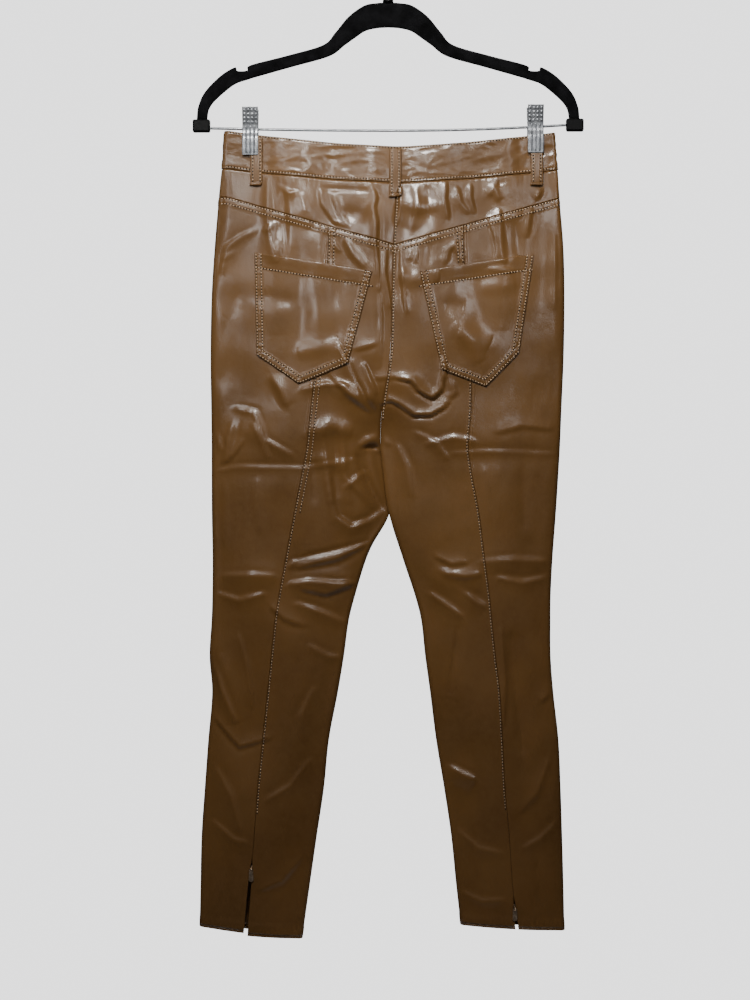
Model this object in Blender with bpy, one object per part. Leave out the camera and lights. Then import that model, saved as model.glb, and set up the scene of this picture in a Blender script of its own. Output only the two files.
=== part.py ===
"""Faux leather trousers, hung by the waistband from a velvet clip hanger.

Everything is in metres with +Z up. The origin is the underside of the hook's top, where a rail
carries it. The back of the trousers faces -Y, and the wearer's left leg is on the -X side.

Each half of the trousers is a flattened tube. A section at one height runs from the inner edge
(the centre seam above the crotch, the inseam below it) round to the side seam. Panels are cut
out of that surface between seams, and given a wall thickness.
"""
import math

import bmesh
import bpy
from mathutils import Vector

# Walls and clearances
LEATHER = 0.0013
WAISTBAND = 0.0024
LOOP_WALL = 0.0016
TAPE_WALL = 0.0010
SEAM_GAP = 0.0003
SEAM_INSET = SEAM_GAP / 2

# Heights of the main lines
CROTCH = -0.575
FORK_START = -0.540
BOTTOM = -1.136

# Sections down the garment, one row a height
SECTION_COLUMNS = (
    "height", "left_side", "left_inner", "right_inner", "right_side",
    "half_depth", "fold_radius", "left_seam", "right_seam")
SECTIONS = (
    (-0.215, -0.1870, +0.0080, +0.0080, +0.1874, 0.0060, 0.0022, -0.0690, +0.0830),
    (-0.262, -0.1907, +0.0080, +0.0080, +0.1909, 0.0080, 0.0024, -0.0690, +0.0830),
    (-0.296, -0.1941, +0.0070, +0.0070, +0.1932, 0.0105, 0.0030, -0.0692, +0.0830),
    (-0.350, -0.1986, +0.0040, +0.0040, +0.1975, 0.0140, 0.0040, -0.0695, +0.0835),
    (-0.405, -0.2020, +0.0025, +0.0025, +0.1987, 0.0170, 0.0045, -0.0725, +0.0865),
    (-0.473, -0.2032, +0.0005, +0.0005, +0.1978, 0.0190, 0.0050, -0.0815, +0.0915),
    (-0.533, -0.2025, -0.0085, -0.0085, +0.1953, 0.0190, 0.0050, -0.0890, +0.0920),
    (-0.575, -0.2020, -0.0116, -0.0094, +0.1936, 0.0185, 0.0050, -0.0935, +0.0886),
    (-0.600, -0.2020, -0.0112, -0.0076, +0.1922, 0.0180, 0.0050, -0.0978, +0.0915),
    (-0.650, -0.2018, -0.0062, -0.0005, +0.1890, 0.0175, 0.0050, -0.1075, +0.1006),
    (-0.704, -0.2009, -0.0272, +0.0160, +0.1850, 0.0165, 0.0050, -0.1176, +0.1075),
    (-0.745, -0.2012, -0.0397, +0.0295, +0.1830, 0.0160, 0.0050, -0.1253, +0.1129),
    (-0.772, -0.2020, -0.0465, +0.0363, +0.1827, 0.0155, 0.0050, -0.1295, +0.1155),
    (-0.813, -0.2043, -0.0522, +0.0409, +0.1829, 0.0150, 0.0050, -0.1337, +0.1197),
    (-0.854, -0.2014, -0.0590, +0.0465, +0.1859, 0.0150, 0.0050, -0.1380, +0.1246),
    (-0.908, -0.2058, -0.0692, +0.0533, +0.1918, 0.0140, 0.0045, -0.1436, +0.1277),
    (-0.963, -0.2098, -0.0749, +0.0624, +0.1943, 0.0140, 0.0045, -0.1492, +0.1304),
    (-1.017, -0.2134, -0.0829, +0.0704, +0.1960, 0.0130, 0.0045, -0.1529, +0.1350),
    (-1.072, -0.2146, -0.0908, +0.0760, +0.1975, 0.0130, 0.0045, -0.1580, +0.1389),
    (-1.136, -0.2158, -0.0999, +0.0832, +0.1987, 0.0130, 0.0045, -0.1632, +0.1452),
)

# Lines that sag from the side seams to the middle: height at the side, drop, and power of the bend
WAIST_TOP = (-0.2180, 0.0181, 1.5)
WAIST_SEAM = (-0.2615, 0.0159, 1.5)
YOKE_SEAM = (-0.2935, 0.0550, 1.0)
LINE_HALF_WIDTH = 0.190

# Hem of each leg: height at the side seam and at the inseam
HEM = {"left": (-1.1196, -1.1332), "right": (-1.1242, -1.1180)}
SLIT_FLAP = {"left": 0.0028, "right": 0.0}

# Ankle zips in the back leg seams. Rows of the gaps: height, gap
SLIT_TOP = {"left": -0.994, "right": -0.989}
SLIDER = {"left": -1.0538, "right": -1.0980}
SLIT_GAPS = {
    "left": ((-1.0400, SEAM_GAP), (-1.0538, 0.0028), (-1.0750, 0.0034), (-1.1330, 0.0044)),
    "right": ((-1.0830, SEAM_GAP), (-1.0980, 0.0028), (-1.1250, 0.0030)),
}
TAPE_WIDTH = 0.011
TAPE_HEM_CLEARANCE = 0.006

# Rows of each stretch of the grid
YOKE_ROWS = 3
BAND_ROWS = 3
SEAT_LEVELS = (0.0, 0.12, 0.24, 0.36, 0.48, 0.60, 0.72, 0.846, 0.92, 0.97, 1.0)
LEG_ROWS = 14
SLIT_ROWS = {"left": (3, 3), "right": (4, 2)}
PANEL_COLUMNS = 4
FRONT_COLUMNS = 6
ARC_COLUMNS = 2
WAIST_SPLIT = 2

# Patch pockets, by their corners: corner, x, z
POCKETS = {
    "left": (("top_out", -0.1525, -0.3569), ("top_in", -0.0195, -0.3790),
             ("low_in", -0.0469, -0.4829), ("tip", -0.1024, -0.5060), ("low_out", -0.1503, -0.4727)),
    "right": (("top_out", +0.1629, -0.3592), ("top_in", +0.0338, -0.3790),
              ("low_in", +0.0586, -0.4897), ("tip", +0.1087, -0.5090), ("low_out", +0.1461, -0.4704)),
}
OVERLAY_LIFT = 0.0006

# Belt loops: name, x of the middle, width, top, bottom, and the face they are on
LOOPS = (
    ("belt_loop_centre", +0.0065, 0.0136, -0.2388, -0.2945, "back"),
    ("belt_loop_back_left", -0.1507, 0.0140, -0.2264, -0.2808, "back"),
    ("belt_loop_back_right", +0.1669, 0.0140, -0.2264, -0.2808, "back"),
    ("belt_loop_front_left", -0.0850, 0.0136, -0.2330, -0.2850, "front"),
    ("belt_loop_front_right", +0.0950, 0.0136, -0.2330, -0.2850, "front"),
)

# Large folds, soft ridges round a line: x0, z0, x1, z1, height (minus is a trough), half_width
BACK_FOLDS = (
    (-0.019, -0.300, -0.011, -0.480, +0.0015, 0.012),
    (-0.194, -0.606, -0.045, -0.592, -0.0022, 0.013),
    (+0.068, -0.588, +0.186, -0.586, -0.0020, 0.013),
    (-0.188, -0.722, -0.122, -0.722, +0.0024, 0.014),
    (-0.112, -0.731, -0.040, -0.728, +0.0034, 0.013),
    (+0.104, -0.706, +0.180, -0.706, +0.0026, 0.014),
    (+0.050, -0.724, +0.104, -0.728, +0.0028, 0.013),
    (-0.196, -0.812, -0.172, -0.888, +0.0024, 0.014),
    (+0.136, -0.788, +0.151, -0.924, -0.0022, 0.012),
    (+0.073, -0.777, +0.065, -0.857, -0.0020, 0.012),
    (+0.068, -0.944, +0.096, -0.957, +0.0020, 0.013),
)
FRONT_FOLDS = (
    (-0.120, -0.500, -0.020, -0.560, +0.0024, 0.014),
    (+0.110, -0.505, +0.015, -0.562, +0.0022, 0.014),
    (-0.180, -0.745, -0.070, -0.735, +0.0024, 0.015),
    (+0.070, -0.742, +0.165, -0.752, +0.0022, 0.015),
    (-0.190, -0.905, -0.100, -0.930, -0.0020, 0.014),
    (+0.085, -0.935, +0.180, -0.910, -0.0020, 0.014),
)

# Clips that pinch the waistband: x, and z of the bar there. Rows of the jaws: out, up
CLIPS = {"left": (-0.1578, -0.2150), "right": (+0.1654, -0.2122)}
PINCHED_DEPTH = 0.0015
PINCH_REACH = 0.024
PINCH_FADE = (-0.242, -0.290)
CLIP_WIDTH = 0.0180
CLIP_WALL = 0.0010
JAW_BACK = ((0.0108, +0.0235), (0.0066, +0.0105), (0.0045, +0.0020), (0.0045, -0.0040),
            (0.0069, -0.0110), (0.0069, -0.0220), (0.0066, -0.0300))
JAW_FRONT = ((0.0108, +0.0235), (0.0066, +0.0105), (0.0045, +0.0020), (0.0045, -0.0040),
             (0.0050, -0.0130), (0.0040, -0.0240), (0.0037, -0.0300))
SPRING_LENGTH = 0.0090
SPRING_INNER = 0.0019
SPRING_OUTER = 0.0030

# Hanger. Rows of the arm: outer_x, outer_z, inner_x, inner_z
HANGER_THICKNESS = 0.0056
HANGER_SHIFT = -0.0016
ARM = (
    (0.0000, -0.0720, 0.0000, -0.1004),
    (0.0130, -0.0725, 0.0130, -0.1013),
    (0.0275, -0.0755, 0.0262, -0.1046),
    (0.0450, -0.0880, 0.0380, -0.1125),
    (0.0600, -0.1060, 0.0490, -0.1203),
    (0.0740, -0.1202, 0.0670, -0.1330),
    (0.1140, -0.1320, 0.1100, -0.1453),
    (0.1560, -0.1430, 0.1520, -0.1572),
    (0.1600, -0.1490, 0.1570, -0.1588),
    (0.1710, -0.1495, 0.1680, -0.1622),
    (0.1740, -0.1455, 0.1715, -0.1636),
    (0.1900, -0.1550, 0.1800, -0.1690),
    (0.2080, -0.1735, 0.1960, -0.1830),
    (0.2155, -0.1900, 0.2030, -0.1930),
    (0.2172, -0.2032, 0.2050, -0.2032),
)
ARM_STEPS = 2
EDGE_CHAMFER = 0.0014
CAP_SIZE = (0.0200, 0.0086, 0.0145)
CAP_BEVEL = 0.0020
CAPS = {"left": (-0.2134, -0.2121), "right": (+0.2103, -0.2110)}
BAR_RADIUS = 0.0015
BAR_ENDS = {"left": (-0.2031, -0.2146), "right": (+0.2000, -0.2109)}
BAR_MIDDLE = (+0.0045, -0.2173)
BAR_POINTS = 15
COLLAR_RADII = (0.0062, 0.0048)
COLLAR_SPAN = (-0.0716, -0.0560)
HOOK_ROD = 0.0019
HOOK_INNER = 0.0200
HOOK_NECK_TOP = -0.0500
HOOK_BEND = 0.0120
HOOK_START = -0.60
HOOK_END = math.pi + 0.35

# Zip sliders and pulls
SLIDER_BODY = (0.0060, 0.0020, 0.0090)
SLIDER_NECK = (0.0014, 0.0030)
BRIDGE_HOLE = 0.0010
BRIDGE_WALL = 0.0008
BRIDGE_WIDTH = 0.0011
BRIDGE_CLEARANCE = 0.0005
PULL_LENGTH = 0.0135
PULL_TOP_HALF = 0.0021
PULL_LOW_RADIUS = 0.0027
PULL_WALL = 0.0009
EYE_HALF_WIDTH = 0.0012
EYE_REACH = 0.0027
PULL_PIN = 0.00045

# Fly and button on the front
FLY_WIDTH = 0.038
FLY_BOTTOM = -0.445
FLY_NARROWING = 0.75
FLY_RISE = 0.020
WAIST_OVERLAP = 0.032
WAIST_RAMP = 0.010
BUTTON_RADIUS = 0.0080
BUTTON_WALL = 0.0028
BUTTON_STEM = 0.0035
BUTTON_DOWN = 0.0200

SIDE_SIGN = {"left": -1.0, "right": +1.0}
FACE_SIGN = {"back": -1.0, "front": +1.0}
MATERIALS = {
    "faux_leather": ((0.135, 0.062, 0.030), 0.38, 0.0),
    "zip_tape": ((0.050, 0.026, 0.016), 0.85, 0.0),
    "zip_metal": ((0.180, 0.120, 0.075), 0.35, 1.0),
    "button_metal": ((0.300, 0.240, 0.180), 0.35, 1.0),
    "velvet": ((0.012, 0.012, 0.013), 0.95, 0.0),
    "cap_plastic": ((0.015, 0.015, 0.016), 0.45, 0.0),
    "steel": ((0.620, 0.610, 0.600), 0.25, 1.0),
}


def clear_scene():
    """Remove whatever the scene holds."""
    for item in list(bpy.data.objects):
        bpy.data.objects.remove(item, do_unlink=True)


def material(name):
    """Return the named material, made on first use."""
    found = bpy.data.materials.get(name)
    if found:
        return found
    color, roughness, metallic = MATERIALS[name]
    made = bpy.data.materials.new(name)
    made.use_nodes = True
    shader = made.node_tree.nodes["Principled BSDF"]
    shader.inputs["Base Color"].default_value = (*color, 1.0)
    shader.inputs["Roughness"].default_value = roughness
    shader.inputs["Metallic"].default_value = metallic
    return made


def place(name, data, finish, parent=None):
    """Link an object made from mesh or curve data, with its material."""
    item = bpy.data.objects.new(name, data)
    bpy.context.scene.collection.objects.link(item)
    item.data.materials.append(material(finish))
    item.parent = parent
    return item


def smooth_step(low, high, value):
    """Rise smoothly from 0 at low to 1 at high."""
    share = min(1.0, max(0.0, (value - low) / (high - low)))
    return share * share * (3.0 - 2.0 * share)


def hermite(rows, column, key):
    """Read a column of a table as a smooth curve of its first column, whose heights fall."""
    last = len(rows) - 1
    spot = 0
    while spot < last - 1 and key < rows[spot + 1][0]:
        spot += 1
    before, start, end, after = (rows[max(0, min(last, spot + step))] for step in (-1, 0, 1, 2))
    span = end[0] - start[0]
    share = min(1.0, max(0.0, (key - start[0]) / span))
    slope_start = (end[column] - before[column]) / (end[0] - before[0]) * span
    slope_end = (after[column] - start[column]) / (after[0] - start[0]) * span
    square, cube = share * share, share ** 3
    return ((2 * cube - 3 * square + 1) * start[column] + (cube - 2 * square + share) * slope_start
            + (3 * square - 2 * cube) * end[column] + (cube - square) * slope_end)


def section(column, z):
    """Read one column of the section table at a height."""
    return hermite(SECTIONS, SECTION_COLUMNS.index(column), z)


def side_x(side, z):
    """X of the side fold, at the middle of the wall."""
    return section(side + "_side", z) - SIDE_SIGN[side] * LEATHER / 2


def inner_x(side, z):
    """X of the centre seam above the crotch, and of the inseam fold below it."""
    return section(side + "_inner", z)


def centre_x(z):
    """X of the plane between the halves."""
    return (section("left_inner", z) + section("right_inner", z)) / 2


def openness(z):
    """1 where the two halves are one tube, falling to 0 at the crotch along a round curve."""
    share = min(1.0, max(0.0, (FORK_START - z) / (FORK_START - CROTCH)))
    return math.sqrt(1.0 - share * share)


def fold_height(folds, x, z):
    """Sum of the folds at a point: each is a soft ridge round a line, tapering at its ends."""
    total = 0.0
    for x0, z0, x1, z1, height, half_width in folds:
        run_x, run_z = x1 - x0, z1 - z0
        length = math.hypot(run_x, run_z)
        share = ((x - x0) * run_x + (z - z0) * run_z) / (length * length)
        held = min(1.0, max(0.0, share))
        away = math.hypot(x - x0 - held * run_x, z - z0 - held * run_z)
        total += height * math.exp(-(away / half_width) ** 2)
    return total


def pinch(x, z):
    """How far the clips close the waist at a point, from 0 to 1."""
    fade = 1.0 - smooth_step(-PINCH_FADE[0], -PINCH_FADE[1], -z)
    return fade * sum(math.exp(-((x - clip_x) / PINCH_REACH) ** 4) for clip_x, _ in CLIPS.values())


def run_length(side, z):
    """Length of half a section, from the inner edge to the side fold."""
    radius = section("fold_radius", z)
    return abs(side_x(side, z) - inner_x(side, z)) + radius * (math.pi - 2.0)


def arc_share(side, z):
    """The share of half a section that one fold takes."""
    return section("fold_radius", z) * math.pi / 2 / run_length(side, z)


def share_at(side, x, z):
    """The place along half a section, from 0 inside to 1 at the side, of a point between folds."""
    radius = section("fold_radius", z)
    return (abs(x - inner_x(side, z)) + radius * (math.pi / 2 - 1.0)) / run_length(side, z)


def skin(side, face, share, z):
    """A point on the middle of the cloth."""
    radius, depth = section("fold_radius", z), section("half_depth", z)
    inner, width = inner_x(side, z), abs(side_x(side, z) - inner_x(side, z))
    length, openly = run_length(side, z), openness(z)
    run = share * length
    arc = radius * math.pi / 2
    folded_in = folded_out = radius
    if run < arc:
        turn = run / radius
        across = (1 - openly) * radius * (1 - math.cos(turn)) + openly * radius * turn * 2 / math.pi
        folded_in = radius * math.sin(turn)
    elif run > length - arc:
        turn = (length - run) / radius
        across = width - radius * (1 - math.cos(turn))
        folded_in = folded_out = radius * math.sin(turn)
    else:
        across = radius + run - arc
    part = min(1.0, across / width)
    leg = folded_in + (depth - radius) * math.sin(math.pi * part) ** 0.9
    torso = folded_out + (depth - radius) * math.cos(math.pi / 2 * part) ** 0.8
    x = inner + SIDE_SIGN[side] * across
    out = (1 - openly) * leg + openly * torso
    closed = pinch(x, z)
    out = out * (1 - closed) + min(out, PINCHED_DEPTH) * closed
    edge = smooth_step(0.0, 0.012, width - across) * (openly + (1 - openly) * smooth_step(0.0, 0.012, across))
    out += edge * fold_height(BACK_FOLDS if face == "back" else FRONT_FOLDS, x, z)
    return Vector((x, FACE_SIGN[face] * out, z))


def outward(side, face, share, z):
    """The unit normal of the cloth, pointing out of the garment."""
    step, rise = 0.0004, 0.0005
    low, high = max(0.0, share - step), min(1.0, share + step)
    along = skin(side, face, high, z) - skin(side, face, low, z)
    up = skin(side, face, share, z + rise) - skin(side, face, share, z - rise)
    return (along.cross(up) * -FACE_SIGN[face] * SIDE_SIGN[side]).normalized()


def keep_to_side(point, side, gap=SEAM_INSET):
    """Trim a point above the crotch to its own side of the centre seam."""
    limit = centre_x(point.z) + SIDE_SIGN[side] * gap
    if point.z > CROTCH - 0.0005 and (point.x - limit) * SIDE_SIGN[side] < 0:
        point.x = limit
    return point


def layer_point(side, face, share, z, lift):
    """A point of the cloth moved out by lift."""
    return skin(side, face, share, z) + outward(side, face, share, z) * lift


def sagging(line, x, z):
    """Height of a sagging line at x."""
    side_height, drop, power = line
    away = min(1.0, abs(x - centre_x(z)) / LINE_HALF_WIDTH)
    return side_height - drop * (1.0 - away ** power)


def hem_height(side, x):
    """Height of the hem at x."""
    at_side, at_inseam = HEM[side]
    outer, inner = side_x(side, BOTTOM), inner_x(side, BOTTOM)
    share = (x - outer) / (inner - outer)
    return at_side + (at_inseam - at_side) * share


def row_height(level, side, x, z):
    """Height of a grid row at x. A level is a stretch of the garment and a share of it."""
    stretch, share = level
    if stretch == "band":
        top, bottom = sagging(WAIST_TOP, x, z), sagging(WAIST_SEAM, x, z)
    elif stretch == "yoke":
        top, bottom = sagging(WAIST_SEAM, x, z), sagging(YOKE_SEAM, x, z)
    elif stretch == "seat":
        top, bottom = sagging(YOKE_SEAM, x, z), CROTCH
    else:
        top, bottom = CROTCH, hem_height(side, x)
    return top + (bottom - top) * share


def leg_levels(side):
    """Rows of the leg below the crotch, with one at the top of the slit and one at the slider."""
    hem = sum(HEM[side]) / 2
    slit = (SLIT_TOP[side] - CROTCH) / (hem - CROTCH)
    slider = (SLIDER[side] - CROTCH) / (hem - CROTCH)
    above, below = SLIT_ROWS[side]
    shares = [slit * row / LEG_ROWS for row in range(1, LEG_ROWS + 1)]
    shares += [slit + (slider - slit) * row / above for row in range(1, above + 1)]
    shares += [slider + (1 - slider) * row / below for row in range(1, below + 1)]
    return [("leg", share) for share in shares]


def yoke_levels():
    """Rows from the waistband seam to the yoke seam."""
    return [("yoke", row / YOKE_ROWS) for row in range(YOKE_ROWS + 1)]


def seat_levels():
    """Rows from the yoke seam to the crotch."""
    return [("seat", share) for share in SEAT_LEVELS]


def seam_x(side, z):
    """X of the back leg seam."""
    return section(side + "_seam", z)


def slit_gap(side, z):
    """Width of the gap at the back leg seam, which opens below the zip's slider."""
    return max(SEAM_GAP, hermite(SLIT_GAPS[side], 1, z)) if z < SLIT_GAPS[side][0][0] else SEAM_GAP


def even(start, end, count):
    """Evenly spaced numbers from start to end, both included."""
    return [start + (end - start) * step / count for step in range(count + 1)]


def panel_shares(side, piece, z):
    """Places of a panel's columns along half a section."""
    arc, length = arc_share(side, z), run_length(side, z)
    inset, gap = SEAM_INSET / length, slit_gap(side, z) / 2 / length
    seam = share_at(side, seam_x(side, z), z)
    inner_arc = even(inset, arc, ARC_COLUMNS)
    outer_arc = even(1 - arc, 1 - inset, ARC_COLUMNS)
    if piece == "inner":
        return inner_arc[:-1] + even(arc, seam - gap, PANEL_COLUMNS)
    if piece == "outer":
        return even(seam + gap, 1 - arc, PANEL_COLUMNS) + outer_arc[1:]
    if piece == "front":
        return inner_arc[:-1] + even(arc, 1 - arc, FRONT_COLUMNS) + outer_arc[1:]
    inner_part = inner_arc[:-1] + even(arc, seam, PANEL_COLUMNS)
    return inner_part + even(seam, 1 - arc, PANEL_COLUMNS)[1:] + outer_arc[1:]


def grid_places(side, piece, levels):
    """The (share, height) of each point of a panel's grid, row by row."""
    rows = []
    for number, level in enumerate(levels):
        inset = SEAM_INSET * ((number == len(levels) - 1) - (number == 0))
        columns = len(panel_shares(side, piece, CROTCH))
        row = []
        for column in range(columns):
            z = row_height(level, side, inner_x(side, CROTCH), CROTCH)
            for _ in range(5):
                share = panel_shares(side, piece, z)[column]
                x = skin(side, "back", share, z).x
                z = row_height(level, side, x, z)
            if piece == "inner" and level[0] == "leg":
                sunk = smooth_step(SLIT_TOP[side], BOTTOM, z) if z > BOTTOM else 1.0
                slope = share / share_at(side, seam_x(side, z), z)
                z -= SLIT_FLAP[side] * sunk * slope
            row.append((share, z + inset))
        rows.append(row)
    return rows


def closed_wall(name, outer, inner, finish, parent=None):
    """Join two matching grids of points into one closed wall."""
    rows, columns = len(outer), len(outer[0])
    shape = bmesh.new()
    near = [[shape.verts.new(point) for point in row] for row in outer]
    far = [[shape.verts.new(point) for point in row] for row in inner]
    for row in range(rows - 1):
        for column in range(columns - 1):
            for sheet in (near, far):
                shape.faces.new((sheet[row][column], sheet[row][column + 1],
                                 sheet[row + 1][column + 1], sheet[row + 1][column]))
    border = [(0, column) for column in range(columns)]
    border += [(row, columns - 1) for row in range(1, rows)]
    border += [(rows - 1, column) for column in range(columns - 2, -1, -1)]
    border += [(row, 0) for row in range(rows - 2, 0, -1)]
    for (row, column), (next_row, next_column) in zip(border, border[1:] + border[:1]):
        shape.faces.new((near[row][column], near[next_row][next_column],
                         far[next_row][next_column], far[row][column]))
    bmesh.ops.recalc_face_normals(shape, faces=shape.faces)
    mesh = bpy.data.meshes.new(name)
    shape.to_mesh(mesh)
    shape.free()
    return place(name, mesh, finish, parent)


def cloth_wall(name, side, face, places, wall, lift=0.0, trim=False, finish="faux_leather"):
    """A wall of cloth on the skin of one half, from a grid of (share, height)."""
    layers = []
    for offset in (lift + wall / 2, lift - wall / 2):
        grid = [[layer_point(side, face, share, z, offset) for share, z in row] for row in places]
        if trim:
            grid = [[keep_to_side(point, side) for point in row] for row in grid]
        layers.append(grid)
    return closed_wall(name, layers[0], layers[1], finish)


def back_place(x, z):
    """The half, share and height of a point on the back or front given by x and z."""
    side = "left" if x < centre_x(z) else "right"
    return side, share_at(side, x, z), z


def patch(name, face, points, wall, lift, finish="faux_leather"):
    """A wall laid over the garment, from a grid of (x, z), which may cross the centre seam."""
    places = [[back_place(x, z) for x, z in row] for row in points]
    layers = [[[layer_point(side, face, share, z, offset) for side, share, z in row] for row in places]
              for offset in (lift + wall / 2, lift - wall / 2)]
    return closed_wall(name, layers[0], layers[1], finish)


def make_panels():
    """The yokes, the four back leg panels and the two fronts."""
    for side in ("left", "right"):
        below = seat_levels() + leg_levels(side)
        cloth_wall("yoke_" + side, side, "back", grid_places(side, "yoke", yoke_levels()), LEATHER, trim=True)
        for piece in ("inner", "outer"):
            places = grid_places(side, piece, below)
            cloth_wall("back_" + piece + "_" + side, side, "back", places, LEATHER, trim=True)
        places = grid_places(side, "front", yoke_levels() + below[1:])
        cloth_wall("front_" + side, side, "front", places, LEATHER, trim=True)


def split_columns(places):
    """Put more columns between the columns of one row."""
    row = []
    for (share, z), (next_share, next_z) in zip(places, places[1:]):
        for step in range(WAIST_SPLIT):
            part = step / WAIST_SPLIT
            row.append((share + (next_share - share) * part, z + (next_z - z) * part))
    return row + [places[-1]]


def make_waistband():
    """One strip from the centre front round the back, its right end lapped over its left."""
    levels = [("band", row / BAND_ROWS) for row in range(BAND_ROWS + 1)]
    layers = [[], []]
    for number, level in enumerate(levels):
        inset = SEAM_INSET * ((number == len(levels) - 1) - (number == 0))
        line = []
        for side, face, piece in (("left", "front", "front"), ("left", "back", "yoke"),
                                  ("right", "back", "yoke"), ("right", "front", "front")):
            places = split_columns(grid_places(side, piece, [level, level])[0])
            if (side, face) == ("right", "front"):
                places = places[lap_columns():]
            part = [(side, face, share, z + SEAM_INSET + inset) for share, z in places]
            if (side, face) in (("left", "back"), ("right", "front")):
                part.reverse()
            line.append(part if not line else part[1:])
        line = [place_ for part in line for place_ in part]
        for layer, offset in zip(layers, (WAISTBAND / 2, -WAISTBAND / 2)):
            row = [layer_point(*spot, offset) for spot in line]
            row += lapped_end(level, inset, offset)
            layer.append(row)
    return closed_wall("waistband", layers[0], layers[1], "faux_leather")


def lap_columns():
    """How many of the right front's first columns make room for the lapped end."""
    places = split_columns(grid_places("right", "front", [("band", 0.0)] * 2)[0])
    ramp_start = share_at("right", centre_x(WAIST_TOP[0]) + WAIST_RAMP, places[0][1])
    return sum(1 for share, z in places if share <= ramp_start)


def lapped_end(level, inset, offset):
    """The last columns of the waistband, which step out and lie over the other end."""
    step_out = WAISTBAND + SEAM_GAP
    row = []
    for run in (WAIST_RAMP / 2, WAIST_RAMP, WAIST_RAMP + WAIST_OVERLAP / 2, WAIST_RAMP + WAIST_OVERLAP):
        x = centre_x(WAIST_TOP[0]) + WAIST_RAMP - run
        z = row_height(level, "right", x, WAIST_TOP[0]) + inset
        side, share, z = back_place(x, z)
        row.append(layer_point(side, "front", share, z, offset + step_out * min(1.0, run / WAIST_RAMP)))
    return row


def make_pockets():
    """Two pointed patch pockets over the back leg seams."""
    for side, corners in POCKETS.items():
        spot = {name: Vector((x, z)) for name, x, z in corners}
        tip_share = (spot["tip"].x - spot["low_out"].x) / (spot["low_in"].x - spot["low_out"].x)
        grid = []
        for down in even(0.0, 1.0, 7):
            row = []
            for across in even(0.0, tip_share, 3) + even(tip_share, 1.0, 3)[1:]:
                top = spot["top_out"].lerp(spot["top_in"], across)
                if across <= tip_share:
                    low = spot["low_out"].lerp(spot["tip"], across / tip_share)
                else:
                    low = spot["tip"].lerp(spot["low_in"], (across - tip_share) / (1 - tip_share))
                row.append(tuple(top.lerp(low, down)))
            grid.append(row)
        patch("pocket_" + side, "back", grid, LEATHER, LEATHER + OVERLAY_LIFT)


def make_loops():
    """Belt loops, which lie on the waistband and reach a little below it."""
    lift = WAISTBAND / 2 + OVERLAY_LIFT + LOOP_WALL / 2
    for name, x, width, top, bottom, face in LOOPS:
        grid = [[(x + width * across, z) for across in (-0.5, 0.0, 0.5)] for z in even(top, bottom, 6)]
        patch(name, face, grid, LOOP_WALL, lift)


def make_fly():
    """The fly, a strip with a round lower corner over the front seam below the waistband."""
    grid = []
    for down in even(0.0, 1.0, 7):
        row = []
        for across in even(0.0, 1.0, 4):
            seam = centre_x(WAIST_SEAM[0])
            x = seam - FLY_WIDTH * across * math.sqrt(1.0 - FLY_NARROWING * down ** 6) - SEAM_INSET
            top = sagging(WAIST_SEAM, x, WAIST_SEAM[0]) - SEAM_GAP
            row.append((x, top + (FLY_BOTTOM + FLY_RISE * across ** 2 - top) * down))
        grid.append(row)
    patch("fly", "front", grid, LEATHER, LEATHER + SEAM_GAP)


def turned(name, profile, centre, axis, finish, count=20):
    """A solid turned about an axis through centre, from a closed profile of (radius, height)."""
    shape = bmesh.new()
    direction = Vector(axis)
    first = direction.orthogonal().normalized()
    second = direction.cross(first)
    rings = []
    for step in range(count):
        turn = 2 * math.pi * step / count
        radial = first * math.cos(turn) + second * math.sin(turn)
        rings.append([shape.verts.new(Vector(centre) + radial * radius + direction * height)
                      for radius, height in profile])
    total = len(profile)
    for step in range(count):
        ring, after = rings[step], rings[(step + 1) % count]
        for spot in range(total):
            follow = (spot + 1) % total
            shape.faces.new((ring[spot], ring[follow], after[follow], after[spot]))
    bmesh.ops.remove_doubles(shape, verts=shape.verts, dist=1e-7)
    flat = [face for face in shape.faces if face.calc_area() < 1e-12]
    bmesh.ops.delete(shape, geom=flat, context="FACES_ONLY")
    bmesh.ops.recalc_face_normals(shape, faces=shape.faces)
    mesh = bpy.data.meshes.new(name)
    shape.to_mesh(mesh)
    shape.free()
    return place(name, mesh, finish)


def make_button():
    """A domed button on the lapped end of the waistband."""
    x = centre_x(WAIST_TOP[0]) - WAIST_OVERLAP / 2
    z = sagging(WAIST_TOP, x, WAIST_TOP[0]) - BUTTON_DOWN
    side, share, z = back_place(x, z)
    base = layer_point(side, "front", share, z, WAISTBAND * 1.5 + 2 * SEAM_GAP)
    axis = outward(side, "front", share, z)
    profile = ((0.0, 0.0), (BUTTON_STEM, 0.0), (BUTTON_STEM, 0.0008), (BUTTON_RADIUS, 0.0010),
               (BUTTON_RADIUS, 0.0018), (BUTTON_RADIUS * 0.8, BUTTON_WALL), (0.0, BUTTON_WALL))
    turned("button", profile, base, axis, "button_metal", 24)


def make_zip_tapes():
    """Tapes of the concealed ankle zips, behind the panels' edges."""
    lift = -(LEATHER + TAPE_WALL) / 2 - SEAM_GAP
    for side in ("left", "right"):
        levels = [level for level in leg_levels(side) if level[1] >= leg_levels(side)[LEG_ROWS - 1][1]]
        for piece, way in (("inner", -1.0), ("outer", +1.0)):
            rows = []
            for stretch, part in levels:
                x = seam_x(side, SLIT_TOP[side])
                z = row_height((stretch, part), side, x, CROTCH)
                z = z + TAPE_HEM_CLEARANCE * (part == 1.0)
                seam = share_at(side, seam_x(side, z), z)
                near = seam + way * slit_gap(side, z) / 2 / run_length(side, z)
                far = near + way * TAPE_WIDTH / run_length(side, z)
                rows.append([(spot, z) for spot in even(near, far, 2)])
            cloth_wall("zip_tape_" + piece + "_" + side, side, "back", rows, TAPE_WALL, lift, finish="zip_tape")


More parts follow.
